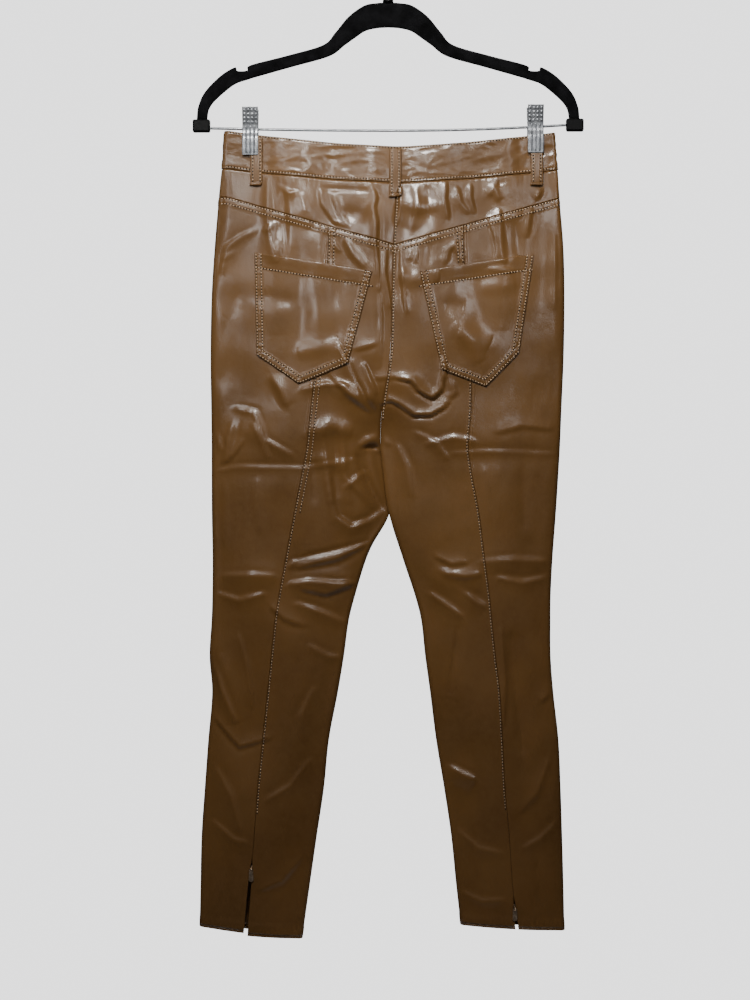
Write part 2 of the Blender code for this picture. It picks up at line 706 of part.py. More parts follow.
def box_mesh(low, high):
    """A bmesh box between two corners."""
    shape = bmesh.new()
    bmesh.ops.create_cube(shape, size=1.0)
    for vert in shape.verts:
        for axis in range(3):
            vert.co[axis] = low[axis] + (high[axis] - low[axis]) * (vert.co[axis] + 0.5)
    return shape


def frame_plate(outer, inner, place_point, width):
    """A plate with a hole: two matching loops, given by place_point(loop point, offset)."""
    shape = bmesh.new()
    loops = []
    for offset in (-width / 2, +width / 2):
        for loop in (outer, inner):
            loops.append([shape.verts.new(place_point(spot, offset)) for spot in loop])
    low_outer, low_inner, high_outer, high_inner = loops
    total = len(outer)
    for near, far in ((low_outer, low_inner), (high_outer, high_inner),
                      (low_outer, high_outer), (low_inner, high_inner)):
        for spot in range(total):
            follow = (spot + 1) % total
            shape.faces.new((near[spot], near[follow], far[follow], far[spot]))
    bmesh.ops.recalc_face_normals(shape, faces=shape.faces)
    return shape


def slider_axis(side):
    """The middle of the slider's bridge, which is the axis that its pull turns on."""
    z = SLIDER[side]
    share = share_at(side, seam_x(side, z), z)
    face = layer_point(side, "back", share, z, LEATHER / 2)
    return Vector((seam_x(side, z), face.y - BRIDGE_HOLE - BRIDGE_CLEARANCE, z))


def make_sliders():
    """Sliders: a body inside the leg, a neck through the slit and a bridge for the pull."""
    for side in ("left", "right"):
        axis = slider_axis(side)
        cloth_back = axis.y + BRIDGE_HOLE + BRIDGE_CLEARANCE + LEATHER + TAPE_WALL + 2 * SEAM_GAP
        half = [extent / 2 for extent in SLIDER_BODY]
        body_low = (axis.x - half[0], cloth_back + SEAM_GAP, axis.z - half[2])
        body_high = (axis.x + half[0], cloth_back + SEAM_GAP + SLIDER_BODY[1], axis.z + half[2])
        neck_low = (axis.x - SLIDER_NECK[0] / 2, axis.y + BRIDGE_HOLE + 0.0002, axis.z - SLIDER_NECK[1] / 2)
        neck_high = (axis.x + SLIDER_NECK[0] / 2, cloth_back + 0.0008, axis.z + SLIDER_NECK[1] / 2)
        corners = [(math.cos(turn), math.sin(turn)) for turn in even(math.pi / 8, 15 * math.pi / 8, 7)]
        inner = [(BRIDGE_HOLE / math.cos(math.pi / 8) * y, BRIDGE_HOLE / math.cos(math.pi / 8) * z)
                 for y, z in corners]
        outer = [(y * (1 + BRIDGE_WALL / BRIDGE_HOLE), z * (1 + BRIDGE_WALL / BRIDGE_HOLE)) for y, z in inner]
        bridge = frame_plate(outer, inner, lambda spot, offset, at=axis: at + Vector((offset, spot[0], spot[1])),
                             BRIDGE_WIDTH)
        pieces = []
        for number, shape in enumerate((box_mesh(body_low, body_high), box_mesh(neck_low, neck_high), bridge)):
            mesh = bpy.data.meshes.new("slider_piece")
            shape.to_mesh(mesh)
            shape.free()
            name = "zip_slider_" + side if number == 0 else "slider_cutter"
            pieces.append(place(name, mesh, "zip_metal"))
        for extra in pieces[1:]:
            join = pieces[0].modifiers.new("join", "BOOLEAN")
            join.operation = "UNION"
            join.object = extra
            extra.hide_render = True
            extra.display_type = "WIRE"


def make_pulls():
    """Teardrop pulls, each hanging by its eye from the slider's bridge."""
    for side in ("left", "right"):
        count = 16
        low_centre = PULL_LENGTH - PULL_LOW_RADIUS
        eye_middle = EYE_REACH / 2
        outer, inner = [], []
        for step in range(count):
            turn = 2 * math.pi * (step + 0.5) / count
            across, down = math.sin(turn), math.cos(turn)
            inner.append((EYE_HALF_WIDTH * max(-1, min(1, across * 1.35)),
                          eye_middle + (EYE_REACH / 2 - PULL_PIN) * max(-1, min(1, down * 1.35))))
            if down > 0:
                outer.append((PULL_LOW_RADIUS * across, low_centre + PULL_LOW_RADIUS * down))
            else:
                outer.append((PULL_TOP_HALF * max(-1, min(1, across * 1.3)), PULL_PIN * down))
        handle = bpy.data.objects.new("pull_axis_" + side, None)
        bpy.context.scene.collection.objects.link(handle)
        handle.location = slider_axis(side)
        shape = frame_plate(outer, inner, lambda spot, offset: Vector((spot[0], offset, -spot[1])), PULL_WALL)
        mesh = bpy.data.meshes.new("zip_pull_" + side)
        shape.to_mesh(mesh)
        shape.free()
        place("zip_pull_" + side, mesh, "zip_metal", handle)


def make_hanger_body():
    """The velvet arch: a chamfered bar lofted along its outer and inner edges."""
    numbered = [(-number, *row) for number, row in enumerate(ARM)]
    stations = [[hermite(numbered, column, -step / ARM_STEPS) for column in (1, 2, 3, 4)]
                for step in range((len(ARM) - 1) * ARM_STEPS + 1)]
    whole = [(-ox, oz, -ix, iz) for ox, oz, ix, iz in reversed(stations[1:])] + stations
    shape = bmesh.new()
    half, cut = HANGER_THICKNESS / 2, EDGE_CHAMFER
    rings = []
    for outer_x, outer_z, inner_x_, inner_z in whole:
        outer = Vector((outer_x + HANGER_SHIFT, 0.0, outer_z))
        inner = Vector((inner_x_ + HANGER_SHIFT, 0.0, inner_z))
        way = (inner - outer).normalized() * cut
        ring = []
        for edge, y in ((outer, -half + cut), (outer + way, -half), (inner - way, -half), (inner, -half + cut),
                        (inner, half - cut), (inner - way, half), (outer + way, half), (outer, half - cut)):
            ring.append(shape.verts.new(edge + Vector((0.0, y, 0.0))))
        rings.append(ring)
    for ring, after in zip(rings, rings[1:]):
        for spot in range(8):
            follow = (spot + 1) % 8
            shape.faces.new((ring[spot], ring[follow], after[follow], after[spot]))
    shape.faces.new(rings[0])
    shape.faces.new(rings[-1])
    bmesh.ops.recalc_face_normals(shape, faces=shape.faces)
    mesh = bpy.data.meshes.new("hanger_body")
    shape.to_mesh(mesh)
    shape.free()
    place("hanger_body", mesh, "velvet")


def make_caps():
    """Plastic caps on the ends of the arch, which hold the bar."""
    for side, (x, z) in CAPS.items():
        half = [extent / 2 for extent in CAP_SIZE]
        shape = box_mesh((x - half[0], -half[1], z - half[2]), (x + half[0], half[1], z + half[2]))
        mesh = bpy.data.meshes.new("hanger_cap_" + side)
        shape.to_mesh(mesh)
        shape.free()
        cap = place("hanger_cap_" + side, mesh, "cap_plastic")
        rounding = cap.modifiers.new("rounding", "BEVEL")
        rounding.width = CAP_BEVEL
        rounding.segments = 2


def rod(name, points, radius, finish, resolution=2):
    """A round rod along a line of points."""
    curve = bpy.data.curves.new(name, "CURVE")
    curve.dimensions = "3D"
    curve.bevel_depth = radius
    curve.bevel_resolution = resolution
    curve.use_fill_caps = True
    line = curve.splines.new("POLY")
    line.points.add(len(points) - 1)
    for spot, point in zip(line.points, points):
        spot.co = (*point, 1.0)
    return place(name, curve, finish)


def bar_height(x):
    """Height of the bar's middle at x: it sags a little between the caps."""
    ends = BAR_ENDS["left"] if x < BAR_MIDDLE[0] else BAR_ENDS["right"]
    share = (x - BAR_MIDDLE[0]) / (ends[0] - BAR_MIDDLE[0])
    return BAR_MIDDLE[1] + (ends[1] - BAR_MIDDLE[1]) * share ** 2


def make_bar():
    """The steel bar between the caps."""
    xs = even(BAR_ENDS["left"][0], BAR_ENDS["right"][0], BAR_POINTS)
    rod("hanger_bar", [(x, 0.0, bar_height(x)) for x in xs], BAR_RADIUS, "steel")


def make_hook():
    """The collar on top of the arch and the hook that stands in it."""
    low, high = COLLAR_SPAN
    profile = ((0.0, low), (COLLAR_RADII[0], low), (COLLAR_RADII[1], high), (0.0, high))
    turned("hanger_collar", profile, (HANGER_SHIFT, 0.0, 0.0), (0.0, 0.0, 1.0), "cap_plastic", 20)
    radius = HOOK_INNER + HOOK_ROD
    centre = Vector((0.0, 0.0, -HOOK_INNER))
    points = [Vector((HANGER_SHIFT, 0.0, z)) for z in even(high + SEAM_GAP, HOOK_NECK_TOP, 2)]
    start = points[-1]
    end = centre + Vector((math.cos(HOOK_START), 0.0, math.sin(HOOK_START))) * radius
    lead_in = Vector((0.0, 0.0, HOOK_BEND))
    lead_out = Vector((-math.sin(HOOK_START), 0.0, math.cos(HOOK_START))) * -HOOK_BEND
    for share in even(0.0, 1.0, 8)[1:]:
        rest = 1.0 - share
        points.append(start * rest ** 3 + (start + lead_in) * 3 * rest ** 2 * share
                      + (end + lead_out) * 3 * rest * share ** 2 + end * share ** 3)
    for turn in even(HOOK_START, HOOK_END, 22)[1:]:
        points.append(centre + Vector((math.cos(turn), 0.0, math.sin(turn))) * radius)
    rod("hook", points, HOOK_ROD, "steel")


def make_clips():
    """Spring clips on the bar: two jaws and a coil each."""
    for side, (x, z) in CLIPS.items():
        height = bar_height(x)
        for face, profile in (("back", JAW_BACK), ("front", JAW_FRONT)):
            outer, inner = [], []
            for spot, (out, up) in enumerate(profile):
                before, after = profile[max(0, spot - 1)], profile[min(len(profile) - 1, spot + 1)]
                slope = Vector((after[0] - before[0], after[1] - before[1])).normalized()
                for grid, way in ((outer, +1.0), (inner, -1.0)):
                    y = out - slope.y * way * CLIP_WALL / 2
                    up_ = up + slope.x * way * CLIP_WALL / 2
                    grid.append([Vector((x + CLIP_WIDTH * across, FACE_SIGN[face] * y, height + up_))
                                 for across in (-0.5, 0.0, 0.5)])
            closed_wall("clip_jaw_" + face + "_" + side, outer, inner, "steel")
        half = SPRING_LENGTH / 2
        profile = ((SPRING_INNER, -half), (SPRING_OUTER, -half), (SPRING_OUTER, half), (SPRING_INNER, half))
        turned("clip_spring_" + side, profile, (x, 0.0, height), (1.0, 0.0, 0.0), "steel", 16)


clear_scene()
make_panels()
make_waistband()
make_pockets()
make_loops()
make_fly()
make_button()
make_zip_tapes()
make_sliders()
make_pulls()
make_hanger_body()
make_caps()
make_bar()
make_hook()
make_clips()
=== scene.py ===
# %% [markdown]
# # Faux leather trousers on a clip hanger
# This lesson builds a pair of faux leather trousers that hang by the waistband, seen from the back.
# The imported model is loaded first and stays fixed. Every cloth piece is then made again as a thin,
# finely meshed shell on the same form, with its creases, seams and stitches. Most hard pieces are made
# again in the detail that a close look needs, and the rest keep their imported shapes with new finishes. All
# sizes are in metres, with +Z up.

# %% Load the frame
import math

import bmesh
import bpy
import numpy as np
from mathutils import Matrix, Vector
from mathutils.bvhtree import BVHTree


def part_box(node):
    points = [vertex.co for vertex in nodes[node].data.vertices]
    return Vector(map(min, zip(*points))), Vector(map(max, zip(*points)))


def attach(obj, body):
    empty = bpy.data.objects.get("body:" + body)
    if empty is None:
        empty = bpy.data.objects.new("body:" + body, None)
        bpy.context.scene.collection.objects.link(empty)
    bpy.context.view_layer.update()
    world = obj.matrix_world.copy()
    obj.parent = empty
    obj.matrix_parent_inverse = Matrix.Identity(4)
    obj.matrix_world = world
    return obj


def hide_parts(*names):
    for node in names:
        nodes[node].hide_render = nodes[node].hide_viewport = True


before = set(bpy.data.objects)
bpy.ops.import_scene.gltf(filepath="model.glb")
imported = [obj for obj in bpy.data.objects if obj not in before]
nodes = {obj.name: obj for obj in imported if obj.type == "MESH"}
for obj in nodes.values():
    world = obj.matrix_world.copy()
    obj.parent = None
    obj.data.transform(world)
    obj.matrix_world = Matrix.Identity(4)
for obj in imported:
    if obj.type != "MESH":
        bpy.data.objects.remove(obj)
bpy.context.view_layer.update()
MM = 0.001
BODY = "garment"

# %% [markdown]
# ## The stage
# The camera stands level with the middle of the garment, straight behind it, far enough back that
# the perspective is mild. A lens length could be tried out by eye, but here it is worked out from
# the height that the view must hold, so a change of the distance keeps the framing.

# %% Camera
VIEW_CENTRE = Vector((-0.0165, 0.0, -0.6365))
VIEW_HEIGHT = 1.135
VIEW_DISTANCE = 2.4


def add_camera():
    """A level camera whose frame is VIEW_HEIGHT tall at the garment."""
    data = bpy.data.cameras.new("camera")
    data.sensor_fit = "VERTICAL"
    data.lens = data.sensor_height * VIEW_DISTANCE / VIEW_HEIGHT
    camera = bpy.data.objects.new("camera", data)
    bpy.context.scene.collection.objects.link(camera)
    camera.location = VIEW_CENTRE + Vector((0.0, -VIEW_DISTANCE, 0.0))
    camera.rotation_euler = (math.pi / 2, 0.0, 0.0)
    bpy.context.scene.camera = camera
    return camera


print("Lens length in millimetres:", round(add_camera().data.lens, 1))

# %% [markdown]
# ## Lights
# A coated cloth shows its gloss by what it reflects. A point light would leave only small dots, and
# a bright room would wash the colour out, so each light here is a rectangle, and those in front have
# a narrow beam. A key light from above picks out the folds of the seat, and a small one lower down
# fills them. Two tall strips and a side light shape the legs, and a wide one lights the far side.

# %% Lights
WARM_WHITE = (1.0, 0.975, 0.94)
SOFT_WHITE = (1.0, 0.985, 0.96)
COOL_WHITE = (0.97, 0.98, 1.0)
LIGHT_COLUMNS = ("name", "place", "aim", "size", "power", "color", "beam")
LIGHTS = (
    ("key_light", (-0.12, -1.00, 0.42), (0.0, 0.0, -0.24), (0.42, 0.22), 5.3, WARM_WHITE, 1.7),
    ("seat_light", (-0.10, -1.20, 0.06), (0.0, 0.0, -0.52), (0.20, 0.10), 0.40, SOFT_WHITE, 1.3),
    ("left_strip", (-0.55, -1.35, 0.06), (0.0, 0.0, -0.32), (0.20, 0.65), 0.95, COOL_WHITE, 1.7),
    ("right_strip", (0.48, -1.40, 0.06), (0.0, 0.0, -0.32), (0.18, 0.65), 0.80, COOL_WHITE, 1.7),
    ("side_light", (-1.20, -0.60, 0.20), (0.0, 0.0, -0.40), (0.25, 0.80), 1.5, (0.96, 0.98, 1.0), math.pi),
    ("back_light", (0.60, 1.60, 0.60), (0.0, 0.0, -0.50), (1.20, 1.20), 30.0, (1.0, 1.0, 1.0), math.pi),
)


def add_area_light(name, place, aim, size, power, color, beam):
    """A rectangular light at place, turned to face aim, with the angle of its beam."""
    data = bpy.data.lights.new(name, "AREA")
    data.shape = "RECTANGLE"
    data.size, data.size_y = size
    data.energy = power
    data.color = color
    data.spread = beam
    light = bpy.data.objects.new(name, data)
    bpy.context.scene.collection.objects.link(light)
    light.location = place
    light.rotation_euler = (Vector(aim) - Vector(place)).to_track_quat("-Z", "Y").to_euler()
    return light


for row in LIGHTS:
    add_area_light(**dict(zip(LIGHT_COLUMNS, row)))
print("Lights:", [row[0] for row in LIGHTS])

# %% [markdown]
# ## Floor and backdrop
# The garment hangs over a plain pale floor. The backdrop is what the camera sees behind it, and the
# sky is what lights it. One world does both: a Light Path node gives the camera an even pale tone,
# and every other ray a dim sky, so that a bright backdrop doesn't flatten the cloth.

# %% Floor and backdrop
FLOOR_HEIGHT = -1.62
FLOOR_RADIUS = 1.15
BACKDROP_STRENGTH = 2.8
SKY_STRENGTH = 0.08


def add_floor():
    """A wide pale disc under the garment."""
    shape = bmesh.new()
    bmesh.ops.create_circle(shape, cap_ends=True, segments=96, radius=FLOOR_RADIUS)
    mesh = bpy.data.meshes.new("floor")
    shape.to_mesh(mesh)
    shape.free()
    floor = bpy.data.objects.new("floor", mesh)
    bpy.context.scene.collection.objects.link(floor)
    floor.location = (0.0, 0.0, FLOOR_HEIGHT)
    paint = bpy.data.materials.new("floor_paint")
    paint.use_nodes = True
    shader = paint.node_tree.nodes["Principled BSDF"]
    shader.inputs["Base Color"].default_value = (0.72, 0.72, 0.72, 1.0)
    shader.inputs["Roughness"].default_value = 0.9
    mesh.materials.append(paint)


def add_backdrop():
    """An even pale backdrop for the camera, and a sky that is lighter above than below."""
    world = bpy.data.worlds.new("studio")
    bpy.context.scene.world = world
    world.use_nodes = True
    tree = world.node_tree
    tree.nodes.clear()
    output = tree.nodes.new("ShaderNodeOutputWorld")
    mix = tree.nodes.new("ShaderNodeMixShader")
    path = tree.nodes.new("ShaderNodeLightPath")
    backdrop = tree.nodes.new("ShaderNodeBackground")
    backdrop.inputs["Color"].default_value = (0.78, 0.78, 0.785, 1.0)
    backdrop.inputs["Strength"].default_value = BACKDROP_STRENGTH
    sky = tree.nodes.new("ShaderNodeBackground")
    sky.inputs["Strength"].default_value = SKY_STRENGTH
    place = tree.nodes.new("ShaderNodeTexCoord")
    split = tree.nodes.new("ShaderNodeSeparateXYZ")
    ramp = tree.nodes.new("ShaderNodeValToRGB")
    ramp.color_ramp.elements[0].position = 0.30
    ramp.color_ramp.elements[0].color = (0.16, 0.15, 0.14, 1.0)
    ramp.color_ramp.elements[1].position = 0.85
    ramp.color_ramp.elements[1].color = (0.95, 0.97, 1.0, 1.0)
    shift = tree.nodes.new("ShaderNodeMath")
    shift.operation = "MULTIPLY_ADD"
    shift.inputs[1].default_value = 0.5
    shift.inputs[2].default_value = 0.5
    tree.links.new(place.outputs["Generated"], split.inputs[0])
    tree.links.new(split.outputs["Z"], shift.inputs[0])
    tree.links.new(shift.outputs[0], ramp.inputs[0])
    tree.links.new(ramp.outputs["Color"], sky.inputs["Color"])
    tree.links.new(path.outputs["Is Camera Ray"], mix.inputs["Fac"])
    tree.links.new(sky.outputs[0], mix.inputs[1])
    tree.links.new(backdrop.outputs[0], mix.inputs[2])
    tree.links.new(mix.outputs[0], output.inputs["Surface"])


add_floor()
add_backdrop()
print("The floor is", FLOOR_HEIGHT, "m from the rail")

# %% [markdown]
# ## Shader groups
# Several finishes share the same effects, so each effect is one node group with named sockets.
# A group gives out only colours and values: the shader itself stays in each material.

# %% Helpers for node groups
def new_group(name, inputs, outputs):
    """A shader group with float and colour sockets, as (name, type, default) rows."""
    group = bpy.data.node_groups.new(name, "ShaderNodeTree")
    for label, kind, default in inputs:
        socket = group.interface.new_socket(name=label, in_out="INPUT", socket_type=kind)
        socket.default_value = default
    for label, kind in outputs:
        group.interface.new_socket(name=label, in_out="OUTPUT", socket_type=kind)
    return group, group.nodes.new("NodeGroupInput"), group.nodes.new("NodeGroupOutput")


def noise(tree, coords, scale, detail=3.0, roughness=0.55, distortion=0.0):
    """A noise texture on object coordinates; scale may be a number or a socket."""
    node = tree.nodes.new("ShaderNodeTexNoise")
    tree.links.new(coords, node.inputs["Vector"])
    if isinstance(scale, (int, float)):
        node.inputs["Scale"].default_value = scale
    else:
        tree.links.new(scale, node.inputs["Scale"])
    node.inputs["Detail"].default_value = detail
    node.inputs["Roughness"].default_value = roughness
    node.inputs["Distortion"].default_value = distortion
    return node


def math_node(tree, operation, *values):
    """A math node on one to three values, each a number or a socket."""
    node = tree.nodes.new("ShaderNodeMath")
    node.operation = operation
    for socket, value in zip(node.inputs, values):
        if isinstance(value, (int, float)):
            socket.default_value = value
        else:
            tree.links.new(value, socket)
    return node.outputs[0]


def spread(tree, value, low, high, out_low=0.0, out_high=1.0):
    """Map a value from low..high to out_low..out_high, smoothly and clamped."""
    node = tree.nodes.new("ShaderNodeMapRange")
    node.interpolation_type = "SMOOTHSTEP"
    tree.links.new(value, node.inputs["Value"])
    limits = {"From Min": low, "From Max": high, "To Min": out_low, "To Max": out_high}
    for label, number in limits.items():
        node.inputs[label].default_value = number
    return node.outputs[0]


def object_coords(tree):
    """The object coordinate socket: every piece sits at the origin, so it is in metres."""
    return tree.nodes.new("ShaderNodeTexCoord").outputs["Object"]


def use_group(tree, group, **values):
    """Place a group in a material, with its own input values."""
    node = tree.nodes.new("ShaderNodeGroup")
    node.node_tree = group
    for label, value in values.items():
        node.inputs[label.replace("_", " ")].default_value = value
    return node


print("Node groups so far:", len(bpy.data.node_groups))

# %% [markdown]
# Coated cloth has a printed grain of tiny pebbles, softer crumples where it has been bent, and a
# coat that is worn unevenly, so that it shines in patches. The grain and the crumples are heights
# for a Bump node. The patches are a mask that drives the roughness and the coat.

# %% Grain, crumple and patina groups
def make_grain():
    """Fine pebbled grain: rounded cells with creased edges."""
    group, start, end = new_group(
        "pebble_grain", (("Cells per metre", "NodeSocketFloat", 900.0),), (("Height", "NodeSocketFloat"),))
    coords = object_coords(group)
    cells = group.nodes.new("ShaderNodeTexVoronoi")
    cells.feature = "SMOOTH_F1"
    group.links.new(coords, cells.inputs["Vector"])
    group.links.new(start.outputs[0], cells.inputs["Scale"])
    fuzz = noise(group, coords, math_node(group, "MULTIPLY", start.outputs[0], 0.55), 4.0)
    pebbles = math_node(group, "MULTIPLY_ADD", cells.outputs["Distance"], -0.7, 0.5)
    group.links.new(math_node(group, "MULTIPLY_ADD", fuzz.outputs["Fac"], 0.5, pebbles), end.inputs[0])
    return group


def make_crumple():
    """Soft crumples, ridged where the cloth has been bent."""
    group, start, end = new_group(
        "soft_crumple", (("Crumples per metre", "NodeSocketFloat", 60.0),), (("Height", "NodeSocketFloat"),))
    hang = group.nodes.new("ShaderNodeVectorMath")
    hang.operation = "MULTIPLY"
    hang.inputs[1].default_value = (1.0, 1.0, 0.4)
    group.links.new(object_coords(group), hang.inputs[0])
    broad = noise(group, hang.outputs[0], start.outputs[0], 2.0, 0.45, 0.5)
    centred = math_node(group, "SUBTRACT", broad.outputs["Fac"], 0.5)
    ridge = math_node(group, "ABSOLUTE", centred)
    group.links.new(math_node(group, "MULTIPLY", ridge, -2.0), end.inputs[0])
    return group


def make_patina():
    """Where the coat shines: broad patches broken up by finer ones."""
    group, start, end = new_group(
        "worn_patches", (("Patches per metre", "NodeSocketFloat", 14.0), ("Cut", "NodeSocketFloat", 0.5)),
        (("Mask", "NodeSocketFloat"), ("Fine", "NodeSocketFloat")))
    coords = object_coords(group)
    broad = noise(group, coords, start.outputs[0], 4.0, 0.6, 0.4)
    fine = noise(group, coords, math_node(group, "MULTIPLY", start.outputs[0], 9.0), 5.0, 0.6)
    mixed = math_node(group, "ADD", math_node(group, "MULTIPLY", broad.outputs["Fac"], 0.8),
                      math_node(group, "MULTIPLY", fine.outputs["Fac"], 0.2))
    above = math_node(group, "SUBTRACT", mixed, start.outputs[1])
    group.links.new(spread(group, above, -0.10, 0.12), end.inputs[0])
    group.links.new(fine.outputs["Fac"], end.inputs[1])
    return group


GRAIN, CRUMPLE, PATINA = make_grain(), make_crumple(), make_patina()
print("Groups:", [group.name for group in (GRAIN, CRUMPLE, PATINA)])

# %% [markdown]
# ## Finishes of the cloth
# The cloth is a knit with a brown plastic coat. Its look comes in layers, as on the real thing: a
# colour that drifts a little, a roughness that follows the worn patches, three sizes of bump, and
# a clear coat over them all. One noise could drive everything, but then the dull and the shiny
# spots would always have the same colour. The thread is plain and matt, and its lighter colour is
# partly a painted highlight. The shade inside a needle hole is painted, as a near-black disc.

# %% Materials of cloth and thread
LEATHER_DARK = (0.086, 0.0380, 0.0088)
LEATHER_LIGHT = (0.145, 0.0670, 0.0165)
LEATHER_WORN = (0.127, 0.0645, 0.0205)


def start_material(name, roughness, metallic=0.0):
    """A material with its tree and shader, and the constant values set on the shader."""
    made = bpy.data.materials.new(name)
    made.use_nodes = True
    shader = made.node_tree.nodes["Principled BSDF"]
    shader.inputs["Roughness"].default_value = roughness
    shader.inputs["Metallic"].default_value = metallic
    return made, made.node_tree, shader


def color_mix(tree, factor, low, high):
    """A colour between two, by a factor socket."""
    node = tree.nodes.new("ShaderNodeMix")
    node.data_type = "RGBA"
    tree.links.new(factor, node.inputs["Factor"])
    for socket, value in ((node.inputs[6], low), (node.inputs[7], high)):
        if isinstance(value, tuple):
            socket.default_value = (*value, 1.0)
        else:
            tree.links.new(value, socket)
    return node.outputs[2]


def bump(tree, shader, height, strength, distance):
    """Drive the shader's normal from a height."""
    node = tree.nodes.new("ShaderNodeBump")
    node.inputs["Strength"].default_value = strength
    node.inputs["Distance"].default_value = distance
    tree.links.new(height, node.inputs["Height"])
    if shader.inputs["Normal"].is_linked:
        tree.links.new(shader.inputs["Normal"].links[0].from_socket, node.inputs["Normal"])
    tree.links.new(node.outputs[0], shader.inputs["Normal"])


def leather_material():
    """Brown faux leather: fine grain, soft crumples, and a coat that shines in patches."""
    made, tree, shader = start_material("brown_faux_leather", 0.4)
    shader.inputs["Coat Roughness"].default_value = 0.19
    shader.inputs["Coat IOR"].default_value = 1.5
    shader.inputs["Specular IOR Level"].default_value = 0.24
    patches = use_group(tree, PATINA, Patches_per_metre=16.0, Cut=0.5)
    tone = noise(tree, object_coords(tree), 7.0, 5.0, 0.6)
    drift = spread(tree, tone.outputs["Fac"], 0.35, 0.65)
    base = color_mix(tree, drift, LEATHER_DARK, LEATHER_LIGHT)
    mottled = color_mix(tree, patches.outputs["Fine"], base, LEATHER_WORN)
    worn = patches.outputs["Mask"]
    tree.links.new(mottled, shader.inputs["Base Color"])
    tree.links.new(spread(tree, worn, 0.0, 1.0, 0.46, 0.33), shader.inputs["Roughness"])
    tree.links.new(spread(tree, worn, 0.0, 1.0, 0.26, 0.80), shader.inputs["Coat Weight"])
    crumple = use_group(tree, CRUMPLE, Crumples_per_metre=55.0)
    bump(tree, shader, crumple.outputs["Height"], 0.36, 0.0008)
    uneven = noise(tree, object_coords(tree), 210.0, 2.0)
    bump(tree, shader, uneven.outputs["Fac"], 0.25, 0.0004)
    grain = use_group(tree, GRAIN, Cells_per_metre=1100.0)
    bump(tree, shader, grain.outputs["Height"], 0.35, 0.00012)
    return made


def thread_material():
    """Thread a little lighter than the cloth: partly its own colour, partly a painted highlight."""
    made, tree, shader = start_material("stitch_thread", 0.6)
    twist = noise(tree, object_coords(tree), 2500.0, 2.0)
    # The light end of this range is partly a painted highlight on the beads, not only the thread's own
    # colour.
    color = color_mix(tree, twist.outputs["Fac"], (0.34, 0.215, 0.115), (0.58, 0.42, 0.27))
    tree.links.new(color, shader.inputs["Base Color"])
    bump(tree, shader, twist.outputs["Fac"], 0.5, 0.0001)
    return made


def painted_hole_shade_material():
    """Painted shade for a needle hole: a near-black matt colour in place of the shade inside it."""
    made, tree, shader = start_material("needle_hole_painted_shade", 0.9)
    shade = noise(tree, object_coords(tree), 900.0)
    color = color_mix(tree, shade.outputs["Fac"], (0.006, 0.0025, 0.001), (0.018, 0.007, 0.002))
    tree.links.new(color, shader.inputs["Base Color"])
    return made


LEATHER_MATERIAL = leather_material()
THREAD_MATERIAL = thread_material()
HOLE_SHADE_MATERIAL = painted_hole_shade_material()
print("Materials:", len(bpy.data.materials))

# %% [markdown]
# ## The form of the garment
# Half of the garment is a flattened tube. At one height, its section runs from the inner edge,
# round a small fold, across the flat of the cloth and round the side fold. The table has a row
# for each height. Between rows the values follow a smooth curve, so that the outline has no kinks.
# Above the crotch the two halves open into one tube, and a round curve joins the two states.

# %% Sections of the garment
WALL = 0.0013
CROTCH = -0.575
FORK_START = -0.500
BOTTOM = -1.136
SECTION_COLUMNS = (
    "height", "left_side", "left_inner", "right_inner", "right_side",
    "half_depth", "fold_radius", "left_seam", "right_seam")
SECTIONS = np.array((
    (-0.215, -0.1870, +0.0080, +0.0080, +0.1874, 0.0060, 0.0022, -0.0690, +0.0830),
    (-0.262, -0.1907, +0.0080, +0.0080, +0.1909, 0.0080, 0.0024, -0.0690, +0.0830),
    (-0.296, -0.1941, +0.0070, +0.0070, +0.1932, 0.0105, 0.0030, -0.0692, +0.0830),
    (-0.350, -0.1986, +0.0040, +0.0040, +0.1975, 0.0140, 0.0040, -0.0695, +0.0835),
    (-0.405, -0.2020, +0.0025, +0.0025, +0.1987, 0.0170, 0.0045, -0.0725, +0.0865),
    (-0.473, -0.2032, +0.0005, +0.0005, +0.1978, 0.0190, 0.0050, -0.0815, +0.0915),
    (-0.533, -0.2025, -0.0085, -0.0085, +0.1953, 0.0190, 0.0050, -0.0890, +0.0920),
    (-0.575, -0.2020, -0.0116, -0.0094, +0.1936, 0.0185, 0.0050, -0.0935, +0.0886),
    (-0.600, -0.2020, -0.0112, -0.0076, +0.1922, 0.0180, 0.0050, -0.0978, +0.0915),
    (-0.650, -0.2018, -0.0062, -0.0005, +0.1890, 0.0175, 0.0050, -0.1075, +0.1006),
    (-0.704, -0.2009, -0.0272, +0.0160, +0.1850, 0.0165, 0.0050, -0.1176, +0.1075),
    (-0.745, -0.2012, -0.0397, +0.0295, +0.1830, 0.0160, 0.0050, -0.1253, +0.1129),
    (-0.772, -0.2020, -0.0465, +0.0363, +0.1827, 0.0155, 0.0050, -0.1295, +0.1155),
    (-0.813, -0.2043, -0.0522, +0.0409, +0.1829, 0.0150, 0.0050, -0.1337, +0.1197),
    (-0.854, -0.2014, -0.0590, +0.0465, +0.1859, 0.0150, 0.0050, -0.1380, +0.1246),
    (-0.908, -0.2058, -0.0692, +0.0533, +0.1918, 0.0140, 0.0045, -0.1436, +0.1277),
    (-0.963, -0.2098, -0.0749, +0.0624, +0.1943, 0.0140, 0.0045, -0.1492, +0.1304),
    (-1.017, -0.2134, -0.0829, +0.0704, +0.1960, 0.0130, 0.0045, -0.1529, +0.1350),
    (-1.072, -0.2146, -0.0908, +0.0760, +0.1975, 0.0130, 0.0045, -0.1580, +0.1389),
    (-1.136, -0.2158, -0.0999, +0.0832, +0.1987, 0.0130, 0.0045, -0.1632, +0.1452),
))
SIDE_SIGN = {"left": -1.0, "right": +1.0}
